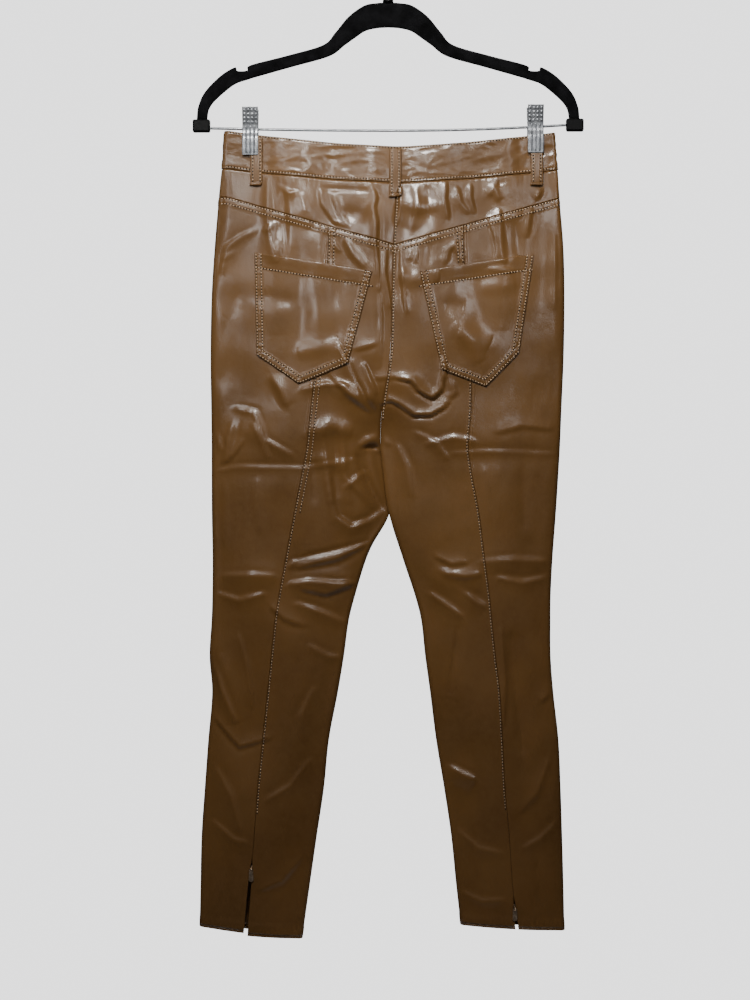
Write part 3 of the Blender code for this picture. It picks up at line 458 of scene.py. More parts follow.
FACE_SIGN = {"back": -1.0, "front": +1.0}


def smooth_step(low, high, value):
    """Rise smoothly from 0 at low to 1 at high."""
    share = np.clip((value - low) / (high - low), 0.0, 1.0)
    return share * share * (3.0 - 2.0 * share)


def section(column, z):
    """One column of the section table at heights z, as a smooth curve."""
    keys, values = SECTIONS[:, 0], SECTIONS[:, SECTION_COLUMNS.index(column)]
    slopes = np.gradient(values, keys)
    slopes[1:-1] = (values[2:] - values[:-2]) / (keys[2:] - keys[:-2])
    spot = np.clip(np.searchsorted(-keys, -z, side="right") - 1, 0, len(keys) - 2)
    span = keys[spot + 1] - keys[spot]
    share = np.clip((z - keys[spot]) / span, 0.0, 1.0)
    square, cube = share ** 2, share ** 3
    return ((2 * cube - 3 * square + 1) * values[spot] + (cube - 2 * square + share) * span * slopes[spot]
            + (3 * square - 2 * cube) * values[spot + 1] + (cube - square) * span * slopes[spot + 1])


def side_x(side, z):
    """X of the side fold, at the middle of the wall."""
    return section(side + "_side", z) - SIDE_SIGN[side] * WALL / 2


def inner_x(side, z):
    """X of the centre seam above the crotch, and of the inseam fold below it."""
    return section(side + "_inner", z)


def centre_x(z):
    """X of the plane between the halves."""
    return (section("left_inner", z) + section("right_inner", z)) / 2


def seam_x(side, z):
    """X of the back leg seam."""
    return section(side + "_seam", z)


def openness(z):
    """1 where the two halves are one tube, falling smoothly to 0 at the crotch."""
    return smooth_step(CROTCH, FORK_START, z)


def run_length(side, z):
    """Length of half a section, from the inner edge to the side fold."""
    return np.abs(side_x(side, z) - inner_x(side, z)) + section("fold_radius", z) * (math.pi - 2.0)


def run_at(side, x, z):
    """How far round the half section, from its inner edge, a point between the folds is."""
    return np.abs(x - inner_x(side, z)) + section("fold_radius", z) * (math.pi / 2 - 1.0)


CLIP_PLACES = {"left": -0.1578, "right": +0.1654}
PINCHED_DEPTH = 0.0015
PINCH_REACH = 0.024


def pinch(x, z):
    """How far the clips close the waist, from 0 to 1."""
    fade = 1.0 - smooth_step(0.242, 0.290, -z)
    return fade * sum(np.exp(-((x - place) / PINCH_REACH) ** 4) for place in CLIP_PLACES.values())


THIGH_OVERLAP = 0.0062
THIGH_STEP = 0.0036


def thigh_touch(z):
    """1 where the inner thighs press on each other below the crotch, fading out above and below."""
    return smooth_step(-CROTCH - 0.010, -CROTCH + 0.012, -z) * (1.0 - smooth_step(0.645, 0.690, -z))


def smooth_skin(side, face, run, z):
    """Points on the middle of the uncreased cloth, for arrays of run and height."""
    thigh = thigh_touch(z)
    radius, depth = section("fold_radius", z), section("half_depth", z)
    width = np.abs(side_x(side, z) - inner_x(side, z))
    length, openly = run_length(side, z), openness(z)
    arc = radius * math.pi / 2
    turn_in = np.clip(run / radius, 0.0, math.pi / 2)
    turn_out = np.clip((length - run) / radius, 0.0, math.pi / 2)
    in_arc, out_arc = run < arc, run > length - arc
    round_in = (1 - openly) * radius * (1 - np.cos(turn_in)) + openly * radius * turn_in * 2 / math.pi
    round_out = width - radius * (1 - np.cos(turn_out))
    across = np.where(in_arc, round_in, np.where(out_arc, round_out, radius + run - arc))
    folded_in = radius * np.where(in_arc, np.sin(turn_in), np.where(out_arc, np.sin(turn_out), 1.0))
    folded_out = radius * np.where(out_arc, np.sin(turn_out), 1.0)
    part = np.clip(across / width, 0.0, 1.0)
    leg = folded_in + (depth - radius) * np.sin(math.pi * part).clip(0.0) ** 0.9
    torso = folded_out + (depth - radius) * np.cos(math.pi / 2 * part).clip(0.0) ** 0.8
    near_inner = 1.0 - smooth_step(0.0, 0.030, across)
    closed = 1.0 - smooth_step(-CROTCH - 0.001, -CROTCH + 0.014, -z)
    inner = inner_x(side, z) + (centre_x(z) - inner_x(side, z)) * closed * near_inner
    x = inner + SIDE_SIGN[side] * across
    if side == "left":
        x = x + THIGH_OVERLAP * thigh * near_inner
    out = (1 - openly) * leg + openly * torso
    out = out * (1.0 - 0.5 * thigh * near_inner)
    clipped = pinch(x, z)
    out = out * (1 - clipped) + np.minimum(out, PINCHED_DEPTH) * clipped
    flat = smooth_step(0.0, 0.012, width - across)
    flat = flat * (openly + (1 - openly) * smooth_step(0.0, 0.012, across))
    y = FACE_SIGN[face] * out - SIDE_SIGN[side] * THIGH_STEP * thigh * near_inner
    return np.stack((x, y, z), axis=-1), flat


print("Waist is", round(float(side_x("right", -0.22) - side_x("left", -0.22)), 3), "m across, laid flat")

# %% [markdown]
# ## Creases
# Faux leather doesn't crumple like cotton. It bends into a few sharp ridges, each with a dark
# hollow beside it, and stays smooth in between. So the creases are placed one by one. A row holds the
# height and half width of a ridge in millimetres (a minus height is a trough), how deep a hollow
# lies beside it and on which side, and then the points of its line, x and z in millimetres. A
# cloth simulation would put its folds where it likes, so it isn't used here.

# %% Creases of the back
LONG_FOLDS = (
    (+1.5, 12, 0.0, (-19, -300), (-11, -480)), (-1.4, 13, 0.0, (-194, -606), (-45, -592)),
    (-1.2, 13, 0.0, (68, -588), (186, -586)), (+1.4, 14, 0.0, (-188, -722), (-122, -722)),
    (+2.4, 13, 0.0, (-112, -731), (-40, -728)), (+1.6, 14, 0.0, (104, -706), (180, -706)),
    (+2.0, 13, 0.0, (50, -724), (104, -728)), (+1.8, 14, 0.0, (-196, -812), (-172, -888)),
    (-2.2, 12, 0.0, (136, -788), (151, -924)), (-2.0, 12, 0.0, (73, -777), (65, -857)),
    (+2.0, 13, 0.0, (68, -944), (96, -957)),
)
SEAT_CREASES = (
    (+1.5, 1.9, +0.8, (-20, -282), (-15, -295), (-18, -305), (-15, -325), (-16, -346), (-14, -366),
     (-12, -400)),
    (-1.3, 3.0, 0.0, (-19, -352), (-15, -385), (-13, -420), (-12, -470), (-13, -492)),
    (+1.1, 2.0, +0.6, (-12, -395), (-10, -430), (-11, -465), (-12, -490)),
    (+1.0, 2.2, -0.7, (-79, -284), (-76, -302), (-62, -322), (-46, -328)),
    (+0.9, 2.4, -0.5, (-65, -290), (-57, -312), (-48, -324)),
    (-1.4, 8.0, 0.0, (-52, -312), (-26, -316)),
    (-1.2, 2.6, 0.0, (-78, -284), (-50, -285), (-20, -288)),
    (+1.2, 6.0, 0.0, (-102, -290), (-94, -312)),
    (+1.0, 3.0, 0.4, (-122, -282), (-114, -290), (-106, -288)),
    (-1.2, 3.6, 0.0, (-120, -278), (-119, -320), (-116, -365)),
    (+1.3, 5.0, 0.3, (-138, -272), (-138, -310), (-134, -345), (-128, -368)),
    (+0.9, 1.8, 0.6, (-142, -332), (-128, -322)),
    (+0.8, 1.6, 0.5, (-126, -345), (-122, -362)),
    (+0.9, 1.8, 0.6, (-190, -366), (-184, -350), (-168, -338), (-150, -330)),
    (+0.7, 1.8, 0.5, (-192, -380), (-186, -362), (-176, -354)),
    (+1.4, 5.0, -0.3, (-50, -342), (-42, -358), (-28, -374)),
    (+0.9, 2.0, 0.5, (-62, -346), (-56, -356)),
    (-1.0, 6.0, 0.0, (-72, -335), (-66, -372)),
    (+1.3, 2.0, -0.7, (13, -352), (13, -375), (16, -402), (18, -426)),
    (+1.2, 2.2, +0.6, (-4, -356), (-6, -380), (-1, -406), (1, -420)),
    (+0.9, 1.7, 0.5, (31, -352), (30, -368)), (+0.9, 1.7, 0.5, (24, -354), (23, -366)),
    (+1.2, 4.0, -0.3, (62, -370), (66, -354), (74, -348), (80, -366)),
    (-1.2, 6.0, 0.0, (48, -340), (42, -372)),
    (+1.1, 3.0, 0.6, (124, -308), (126, -340), (129, -368)),
    (+1.0, 2.2, -0.6, (112, -316), (120, -340), (122, -362)),
    (+1.2, 2.0, 0.7, (160, -308), (157, -325), (155, -338)),
    (-1.2, 7.0, 0.0, (142, -322), (146, -362)),
    (+0.8, 3.0, 0.4, (187, -336), (187, -372), (186, -420)),
    (+1.2, 2.6, 0.6, (64, -278), (62, -296), (66, -318)),
    (+0.9, 3.4, 0.4, (76, -284), (80, -300), (90, -312)),
    (+1.2, 2.2, 0.5, (92, -280), (91, -294), (96, -312)),
    (+1.3, 7.0, 0.3, (28, -282), (32, -300), (26, -330)),
    (+1.2, 5.0, -0.4, (112, -292), (118, -284), (124, -298)),
    (-1.1, 5.0, 0.0, (44, -282), (46, -318)),
    (+1.0, 2.4, 0.6, (172, -284), (166, -296)),
    (+1.3, 2.0, -0.8, (13, -284), (12, -300), (11, -312), (8, -325)),
    (+1.0, 13.0, 0.0, (-128, -350), (-128, -450)), (-1.0, 11.0, 0.0, (-104, -350), (-100, -460)),
    (+1.0, 11.0, 0.0, (-80, -350), (-80, -455)), (-0.8, 9.0, 0.0, (-56, -370), (-60, -460)),
    (+1.2, 12.0, 0.0, (66, -360), (76, -455)), (-1.0, 12.0, 0.0, (96, -360), (102, -455)),
    (+1.0, 11.0, 0.0, (130, -350), (124, -445)), (+1.6, 10.0, 0.0, (74, -436), (104, -480)),
    (+0.9, 2.2, 0.5, (52, -378), (54, -390)), (+0.8, 3.0, 0.4, (112, -376), (140, -378)),
    (+2.6, 1.8, -0.9, (8, -499), (25, -502), (34, -513), (48, -521), (58, -512), (62, -494), (61, -477)),
    (+2.4, 1.8, -0.8, (-10, -528), (1, -523), (11, -528), (28, -540), (45, -540), (60, -532), (67, -524)),
    (+1.1, 2.2, 0.6, (70, -501), (74, -515), (67, -522)),
    (+0.6, 2.2, -0.7, (-40, -467), (-28, -464), (-14, -460)),
    (+1.7, 2.6, -0.7, (-44, -478), (-34, -500), (-16, -534)),
    (+1.5, 2.6, 0.6, (-57, -463), (-48, -484), (-32, -519)),
    (+1.3, 2.0, 0.6, (-30, -482), (-22, -500), (-14, -518)),
    (+1.6, 2.8, -0.6, (-66, -496), (-44, -518), (-22, -536)),
    (+1.8, 5.0, -0.5, (-132, -498), (-122, -514), (-116, -530)),
    (+1.7, 4.0, +0.5, (-100, -512), (-70, -506), (-46, -508)),
    (+0.6, 2.4, -0.8, (-16, -499), (6, -498)),
    (+3.0, 8.5, 0.0, (-56, -514), (-36, -520), (-18, -524)), (+1.4, 9.0, 0.0, (-104, -470), (-56, -462)),
    (+1.9, 12.0, 0.0, (78, -446), (112, -462)), (+1.3, 9.0, 0.0, (104, -398), (142, -392)),
    (+2.4, 9.0, 0.0, (10, -380), (24, -388), (38, -384)),
    (+2.2, 8.0, 0.0, (12, -300), (34, -306), (54, -304)),
    (+1.3, 9.0, 0.0, (-118, -312), (-84, -318)), (+1.3, 10.0, 0.0, (116, -318), (150, -312)),
    (-1.5, 10.0, 0.0, (-150, -408), (-110, -412)), (-1.5, 10.0, 0.0, (62, -416), (84, -420)),
)
THIGH_CREASES = (
    (+0.7, 2.2, 0.7, (-200, -604), (-170, -599), (-99, -601), (-68, -596), (-38, -590)),
    (+0.6, 2.4, 0.6, (68, -584), (110, -582), (150, -583), (188, -585)),
    (+1.2, 2.2, 0.7, (-174, -532), (-152, -538), (-140, -569), (-109, -586)),
    (+1.1, 2.4, -0.6, (-179, -551), (-184, -574), (-188, -594)),
    (+1.0, 2.2, 0.6, (-165, -568), (-174, -582), (-184, -593)),
    (+1.1, 2.2, 0.6, (-154, -550), (-144, -570), (-136, -590)),
    (+0.9, 2.0, 0.5, (-196, -560), (-190, -580)),
    (+1.5, 3.0, 0.8, (-70, -603), (-65, -640), (-60, -656), (-43, -668), (-22, -660), (-6, -648)),
    (+0.9, 2.2, 0.5, (-51, -623), (-40, -614), (-28, -604)),
    (+1.0, 2.4, -0.5, (-50, -612), (-32, -630), (-18, -646)),
    (+2.0, 5.0, 0.0, (-76, -552), (-72, -600), (-66, -640)), (-1.8, 4.5, 0.0, (-88, -556), (-84, -640)),
    (+1.6, 4.0, 0.0, (-54, -556), (-50, -612), (-46, -640)), (-1.5, 4.0, 0.0, (-62, -560), (-58, -632)),
    (-4.5, 2.0, 0.0, (-29, -577), (-8, -576)),
    (+2.6, 4.5, 0.0, (-34, -576), (-24, -569), (-10, -567), (0, -574)),
    (-3.4, 3.6, 0.0, (-37, -586), (-27, -612), (-14, -636), (-6, -648)),
    (+2.4, 4.5, 0.0, (-22, -584), (-16, -610), (-9, -638)),
    (-4.0, 2.2, 0.0, (-10, -578), (-7, -600), (-3, -630), (-1, -646)),
    (+1.3, 3.0, 0.8, (10, -575), (20, -600), (26, -632)),
    (+1.0, 3.0, 0.5, (40, -574), (72, -566), (96, -570)),
    (+1.0, 2.6, 0.6, (30, -560), (52, -572), (66, -590)),
    (+0.9, 3.0, -0.5, (120, -560), (150, -552), (184, -556)),
    (+0.8, 5.0, 0.0, (104, -600), (112, -660)), (-0.9, 7.0, 0.0, (150, -600), (152, -668)),
    (+0.9, 6.0, 0.0, (-150, -612), (-146, -676)), (-0.9, 7.0, 0.0, (-120, -610), (-118, -680)),
    (+0.8, 5.0, 0.0, (60, -612), (66, -680)), (+0.9, 5.0, 0.0, (-186, -620), (-186, -690)),
    (+3.2, 9.5, 0.0, (-92, -562), (-66, -552), (-42, -560)), (+2.8, 9.0, 0.0, (-88, -590), (-48, -598)),
    (+1.6, 12.0, 0.0, (-170, -556), (-142, -562)),
)
KNEE_CREASES = (
    (-1.6, 3.0, 0.0, (-108, -703), (-60, -692), (-23, -682)),
    (+1.6, 3.4, -0.7, (-104, -712), (-60, -702), (-26, -686)),
    (+1.0, 2.4, 0.6, (-114, -713), (-106, -704)),
    (+0.7, 2.6, 0.8, (-190, -722), (-160, -721), (-129, -722)),
    (+1.3, 2.4, 0.8, (-114, -731), (-91, -728), (-60, -731), (-35, -730)),
    (+1.3, 2.6, -0.8, (-99, -736), (-72, -742), (-51, -734), (-37, -731)),
    (+1.1, 3.0, 0.6, (-106, -753), (-76, -764), (-49, -776)),
    (+1.0, 3.0, 0.5, (-196, -742), (-170, -750), (-140, -742)),
    (+1.0, 3.0, -0.6, (-134, -756), (-118, -770), (-96, -778)),
    (+1.2, 3.0, 0.6, (-203, -812), (-190, -850), (-174, -888)),
    (+1.2, 2.8, -0.7, (-200, -879), (-169, -914), (-136, -905)),
    (+0.9, 3.4, 0.5, (-170, -790), (-160, -830), (-156, -870)),
    (+0.8, 3.0, 0.7, (103, -706), (140, -704), (183, -706)),
    (+1.3, 4.4, -0.6, (60, -719), (84, -722), (103, -720)),
    (+1.2, 3.6, 0.6, (84, -741), (98, -752), (109, -757)),
    (+1.1, 3.0, 0.6, (120, -724), (150, -730), (178, -724)),
    (+1.0, 2.6, -0.6, (52, -700), (70, -708), (88, -706)),
    (+1.1, 3.2, 0.5, (46, -742), (60, -752), (82, -768)),
    (-1.0, 4.0, 0.0, (136, -788), (142, -857), (151, -924)),
    (+0.9, 3.2, 0.5, (126, -780), (130, -840), (128, -890)),
    (+0.9, 3.0, 0.6, (73, -777), (66, -830), (64, -857)),
    (+1.2, 3.0, 0.7, (68, -938), (82, -946), (97, -952)),
    (+1.0, 3.0, 0.5, (186, -844), (180, -856), (171, -864)),
    (+1.0, 2.6, 0.6, (-92, -800), (-72, -812), (-54, -816)),
    (+0.9, 3.0, -0.5, (-86, -850), (-100, -880), (-98, -910)),
)
SHIN_CREASES = (
    (+0.9, 4.0, 0.5, (-196, -940), (-180, -970), (-168, -1010)),
    (+0.9, 3.4, -0.5, (-90, -930), (-112, -960), (-140, -976)),
    (+0.8, 3.0, 0.5, (-200, -1000), (-176, -1020), (-160, -1024)),
    (+0.8, 7.0, 0.0, (-120, -980), (-118, -1060)), (-0.8, 8.0, 0.0, (-186, -1030), (-186, -1100)),
    (+0.8, 4.0, 0.4, (-100, -1040), (-122, -1066), (-146, -1076)),
    (+0.9, 4.0, 0.5, (180, -930), (166, -968), (146, -990)),
    (+0.8, 3.0, -0.5, (190, -1000), (170, -1020), (150, -1030)),
    (+0.9, 5.0, 0.0, (96, -990), (100, -1060)), (-0.9, 6.0, 0.0, (166, -1040), (170, -1100)),
    (+0.8, 3.6, 0.5, (76, -1010), (100, -1030), (128, -1036)),
    (+0.8, 3.4, 0.4, (80, -1080), (104, -1090), (130, -1088)),
)
BACK_CREASES = LONG_FOLDS + SEAT_CREASES + THIGH_CREASES + KNEE_CREASES + SHIN_CREASES
print(len(BACK_CREASES), "creases on the back")

# %% [markdown]
# The front doesn't show, so its creases are guessed. They are the ones that such trousers usually
# have: fans that spread from the crotch, bends behind the knees and a few soft drags down the hips.
# A plain front would be simpler, but it would look like a sheet of plastic from the other side.

# %% Creases of the front
FRONT_CREASES = (
    (+2.4, 14, 0.0, (-120, -500), (-20, -560)), (+2.2, 14, 0.0, (110, -505), (15, -562)),
    (+2.4, 15, 0.0, (-180, -745), (-70, -735)), (+2.2, 15, 0.0, (70, -742), (165, -752)),
    (-2.0, 14, 0.0, (-190, -905), (-100, -930)), (-2.0, 14, 0.0, (85, -935), (180, -910)),
    (+1.4, 3.4, 0.7, (-140, -486), (-80, -520), (-26, -552)),
    (+1.3, 3.4, -0.7, (134, -490), (84, -520), (28, -550)),
    (+1.2, 3.2, 0.6, (-110, -540), (-60, -556), (-26, -566)),
    (+1.2, 3.2, -0.6, (104, -536), (62, -556), (18, -568)),
    (+1.2, 3.4, 0.6, (-150, -452), (-110, -486), (-60, -500)),
    (+1.1, 3.2, -0.5, (156, -448), (120, -480), (70, -500)),
    (+1.0, 3.0, 0.5, (-176, -380), (-150, -420), (-120, -440)),
    (+1.0, 3.0, -0.5, (176, -372), (150, -412), (126, -440)),
    (+1.2, 4.0, 0.6, (-170, -600), (-110, -606), (-50, -598)),
    (+1.1, 4.0, 0.6, (48, -604), (100, -610), (168, -600)),
    (+1.3, 3.6, 0.7, (-186, -716), (-130, -724), (-64, -712)),
    (+1.2, 3.4, -0.6, (-180, -756), (-120, -766), (-60, -752)),
    (+1.2, 3.4, 0.6, (60, -722), (110, -728), (170, -716)),
    (+1.2, 3.4, -0.6, (64, -764), (120, -772), (174, -760)),
    (+1.0, 3.2, 0.5, (-170, -790), (-130, -800), (-80, -790)),
    (+1.0, 3.2, 0.5, (80, -800), (130, -806), (160, -796)),
    (+1.2, 3.6, 0.6, (-196, -880), (-150, -910), (-100, -916)),
    (+1.1, 3.4, -0.6, (180, -886), (140, -914), (90, -922)),
    (+0.9, 4.0, 0.4, (-190, -980), (-150, -1004), (-110, -1010)),
    (+0.9, 4.0, 0.4, (180, -990), (140, -1010), (96, -1016)),
    (-1.0, 10.0, 0.0, (-120, -330), (-124, -430)), (-1.0, 10.0, 0.0, (120, -330), (124, -430)),
    (+1.0, 9.0, 0.0, (-80, -330), (-86, -440)), (+1.0, 9.0, 0.0, (80, -330), (88, -440)),
    (+1.0, 8.0, 0.0, (-130, -620), (-134, -690)), (+1.0, 8.0, 0.0, (110, -620), (118, -690)),
    (+0.9, 6.0, 0.3, (-150, -1040), (-150, -1110)), (+0.9, 6.0, 0.3, (140, -1040), (142, -1105)),
    (+1.1, 3.0, 0.6, (-150, -276), (-144, -310), (-128, -340)),
    (+1.1, 3.0, -0.6, (152, -276), (146, -310), (130, -340)),
    (+0.9, 2.4, 0.5, (-112, -282), (-108, -300)), (+0.9, 2.4, 0.5, (108, -282), (112, -300)),
)
print(len(FRONT_CREASES), "creases on the front")

# %% [markdown]
# A crease is worked out from the distance to its line. A soft fold is a plain bell. A sharp one has
# a narrow crest, a gentle apron on one side and a hollow on the other, and both fade at their ends.
# Slow random waves then keep the cloth between the creases from looking flat.

# %% Evaluate the creases
CREASE_APRON = 2.6
CREASE_HOLLOW = 0.55
CREASE_CREST = 0.35
CREASE_GAIN = 1.35
SLOW_WAVE = 0.0012
FINE_WAVE = 0.00011
SEAT_WAVE = 0.0005


def crease_height(rows, x, z):
    """Height of all the creases at arrays of x and z."""
    total = np.zeros(x.shape)
    for height, half_width, lean, *points in rows:
        path = np.array(points, float) * MM
        width = half_width * MM
        low, high = path.min(axis=0) - 9 * width, path.max(axis=0) + 9 * width
        near = (x > low[0]) & (x < high[0]) & (z > low[1]) & (z < high[1])
        if not near.any():
            continue
        px, pz = x[near], z[near]
        steps = np.hypot(*np.diff(path, axis=0).T)
        best = np.full(px.shape, 1.0)
        signed, along = np.zeros(px.shape), np.zeros(px.shape)
        start = 0.0
        for (x0, z0), (x1, z1), step in zip(path[:-1], path[1:], steps):
            run_x, run_z = (x1 - x0) / step, (z1 - z0) / step
            held = np.clip((px - x0) * run_x + (pz - z0) * run_z, 0.0, step)
            off_x, off_z = px - x0 - held * run_x, pz - z0 - held * run_z
            away = np.hypot(off_x, off_z)
            closer = away < best
            best = np.where(closer, away, best)
            turn = np.where(run_x * off_z - run_z * off_x >= 0, 1.0, -1.0)
            signed = np.where(closer, turn * away, signed)
            along = np.where(closer, (start + held) / steps.sum(), along)
            start += step
        taper = 0.25 + 0.75 * np.sqrt(np.clip(4.0 * along * (1.0 - along), 0.0, 1.0))
        wide = width * (0.55 + 0.45 * taper)
        if lean:
            across = signed * math.copysign(1.0, lean) / wide
            slope = np.where(across < 0.0, CREASE_APRON * abs(lean) + 1.0, 1.0)
            shape = np.exp(-np.abs(across / slope) ** 1.6) + CREASE_CREST * np.exp(-(across / 0.5) ** 2)
            shape = shape - abs(lean) * CREASE_HOLLOW * np.exp(-((across - 2.0) / 1.3) ** 2)
            shape = shape * CREASE_GAIN
        else:
            shape = np.exp(-(signed / wide) ** 2)
        total[near] += height * MM * taper * shape
    return total


def waves(x, z, size, seed, count=10):
    """Smooth random waves of about the given size, mostly between -1 and 1."""
    dice = np.random.default_rng(seed)
    total = np.zeros(np.shape(x))
    for _ in range(count):
        turn, phase = dice.uniform(0.0, 2.0 * math.pi, 2)
        stretch = dice.uniform(0.7, 1.5)
        total += np.sin((x * math.cos(turn) + z * math.sin(turn)) * 2 * math.pi / (size * stretch) + phase)
    return total / math.sqrt(count) * 0.7


def cloth(side, face, run, z):
    """Points on the middle of the creased cloth."""
    point, flat = smooth_skin(side, face, run, z)
    rows = BACK_CREASES if face == "back" else FRONT_CREASES
    x = point[..., 0]
    calm = flat * (1.0 - pinch(x, z) * 0.8)
    height = crease_height(rows, x, z)
    height = height + SLOW_WAVE * waves(x, z * 0.35, 0.060, 3) + FINE_WAVE * waves(x, z * 0.6, 0.024, 5)
    height = height + SEAT_WAVE * smooth_step(-0.56, -0.46, z) * waves(x * 0.6, z, 0.045, 41)
    point[..., 1] += FACE_SIGN[face] * calm * height
    return point


print("Crease height at the seat:", crease_height(BACK_CREASES, np.array([0.05]), np.array([-0.52])))

# %% [markdown]
# ## Making cloth from a grid
# A panel is a grid of points on its outer face. Its normals come from its neighbours in the grid,
# and its seams are added along them: the edge of a panel turns down into the seam, and a
# topstitched edge stands a little proud where the seam allowance lies under it. A Solidify
# modifier then gives the wall, inwards. That keeps each panel an even, thin sheet.

# %% Grid helpers
EDGE_STEPS = np.array((0.15, 0.5, 0.9, 1.4, 2.0, 2.7, 3.5, 4.4, 5.4, 6.4, 7.4, 8.4, 9.6)) * MM


def normals_of(grid, face):
    """Unit normals of a grid of points, pointing out of the garment."""
    along = np.gradient(grid, axis=1)
    down = np.gradient(grid, axis=0)
    normal = np.cross(along, down)
    normal /= np.maximum(np.linalg.norm(normal, axis=-1, keepdims=True), 1e-12)
    middle = normal[normal.shape[0] // 2, normal.shape[1] // 2, 1]
    return normal if middle * FACE_SIGN[face] > 0 else -normal


def graded(start, end, count):
    """Columns from start to end (one pair a row): close together near the ends, even between."""
    columns = [start + step for step in EDGE_STEPS]
    inner, outer = start + EDGE_STEPS[-1], end - EDGE_STEPS[-1]
    columns += [inner + (outer - inner) * step / count for step in range(1, count)]
    columns += [end - step for step in EDGE_STEPS[::-1]]
    return np.stack(columns, axis=1)


def grid_mesh(name, grid):
    """A smooth-shaded mesh of a grid of points."""
    rows, columns = grid.shape[:2]
    number = np.arange(rows * columns).reshape(rows, columns)
    corners = (number[:-1, :-1], number[1:, :-1], number[1:, 1:], number[:-1, 1:])
    quads = np.stack(corners, axis=-1).reshape(-1, 4)
    mesh = bpy.data.meshes.new(name)
    mesh.from_pydata(grid.reshape(-1, 3).tolist(), [], quads.tolist())
    mesh.shade_smooth()
    return mesh


def add_piece(name, mesh, finish, replaced=()):
    """Link a mesh or curve, give it a finish, attach it to its body, and hide the parts it replaces."""
    piece = bpy.data.objects.new(name, mesh)
    bpy.context.scene.collection.objects.link(piece)
    if not mesh.materials:
        mesh.materials.append(finish)
    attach(piece, BODY)
    if replaced:
        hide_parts(*replaced)
    return piece


SURFACES = {"back": [], "front": []}


def add_cloth(name, node, face, outer, cut, wall, finish,
              layer=0):
    """A cloth piece from its outer face. The cut argument, its smooth form, is not used."""
    normal = normals_of(outer, face)
    mesh = grid_mesh(name, outer)
    first = mesh.polygons[len(mesh.polygons) // 2]
    row, column = divmod(len(mesh.polygons) // 2, outer.shape[1] - 1)
    if Vector(normal[row, column]).dot(first.normal) < 0:
        mesh.flip_normals()
    piece = add_piece(name, mesh, finish, (node,))
    thickness = piece.modifiers.new("wall", "SOLIDIFY")
    thickness.thickness = wall
    thickness.offset = -1.0
    SURFACES[face].append((layer, mesh))
    return piece


# %% [markdown]
# ## The seams' relief
# Seen close, a topstitched seam is a small landscape. The panel's edge rolls down into a dark
# line. Beside it the folded allowance makes a flat band, each row of stitches pulls a furrow into
# it, and the cloth between two rows puckers into little rungs. Bump can't show that at an outline
# or under a raking light, so it is geometry, and only the finer grain is left to the material.

# %% Relief of a seam
ROLL_DEPTH = 0.0007
ROLL_REACH = 0.0011
BAND_LIFT = 0.00055
FURROW_DEPTH = 0.00042
FURROW_HALF = 0.00065
STITCH_PITCH = 0.0034


def roll(distance, depth=ROLL_DEPTH):
    """An edge that turns down into its seam."""
    return -depth * np.clip(1.0 - distance / ROLL_REACH, 0.0, 1.0) ** 2


def band(distance, along, rows, width, puckers=0.00022, lift=BAND_LIFT, seed=1):
    """A topstitched band: raised to its width, with a furrow at each row and puckers between them."""
    shape = lift * (1.0 - smooth_step(width - 0.0012, width + 0.0010, distance))
    dice = np.random.default_rng(seed)
    slide = dice.uniform(0, 2 * math.pi)
    rungs = np.sin(along * 2 * math.pi / (STITCH_PITCH * 1.35) + slide
                   + 1.6 * np.sin(along * 2 * math.pi / 0.021 + slide * 2))
    inside = smooth_step(rows[0] - 0.0012, rows[0] + 0.0006, distance)
    inside = inside * (1.0 - smooth_step(rows[-1] + 0.0002, rows[-1] + 0.0034, distance))
    shape = shape + puckers * rungs * inside
    for row in rows:
        shape = shape - FURROW_DEPTH * np.exp(-((distance - row) / FURROW_HALF) ** 2)
    return shape


# %% [markdown]
# ## Panels
# The back of each leg has two panels that meet at a seam down the middle of the leg, under a
# shaped yoke. Each front is one panel. The heights of the waist, the yoke seam and the hem follow
# lines that sag to the middle, as the cloth does between the two clips.

# %% Lines of the pattern
WAIST_TOP = (-0.2180, 0.0181, 1.5)
WAIST_SEAM = (-0.2615, 0.0159, 1.5)
YOKE_SEAM = (-0.2935, 0.0550, 1.0)
LINE_HALF_WIDTH = 0.190
HEM = {"left": (-1.1196, -1.1332), "right": (-1.1242, -1.1180)}
SLIT_FLAP = {"left": 0.0028, "right": 0.0}
SLIT_TOP = {"left": -0.994, "right": -0.989}
SEAM_INSET = 0.00015
CENTRE_INSET = 0.00003
SLIT_GAPS = {
    "left": ((-1.0400, 0.00006), (-1.0538, 0.0028), (-1.0750, 0.0034), (-1.1330, 0.0044)),
    "right": ((-1.0830, 0.00006), (-1.0980, 0.0028), (-1.1250, 0.0030)),
}


def sagging(line, x):
    """Height of a sagging line at x."""
    side_height, drop, power = line
    middle = centre_x(np.full(np.shape(x), side_height - drop / 2))
    away = np.minimum(1.0, np.abs(x - middle) / LINE_HALF_WIDTH)
    return side_height - drop * (1.0 - away ** power)


def hem_height(side, x):
    """Height of the hem at x."""
    outer, inner = side_x(side, BOTTOM), inner_x(side, BOTTOM)
    share = (x - outer) / (inner - outer)
    return HEM[side][0] + (HEM[side][1] - HEM[side][0]) * share


def slit_gap(side, z):
    """Width of the gap at the leg seam, from rows of height and gap. It opens below the slider."""
    keys = np.array([key for key, _ in SLIT_GAPS[side]])
    gaps = np.array([gap for _, gap in SLIT_GAPS[side]])
    return np.interp(-z, -keys, gaps)


def run_limits(side, part, z):
    """Where a panel starts and ends round the half section."""
    seam = run_at(side, seam_x(side, z), z)
    end = run_length(side, z) - SEAM_INSET
    start = np.full(z.shape, CENTRE_INSET)
    if part == "inner":
        return start, seam - slit_gap(side, z) / 2
    if part == "outer":
        return seam + slit_gap(side, z) / 2, end
    return start, end


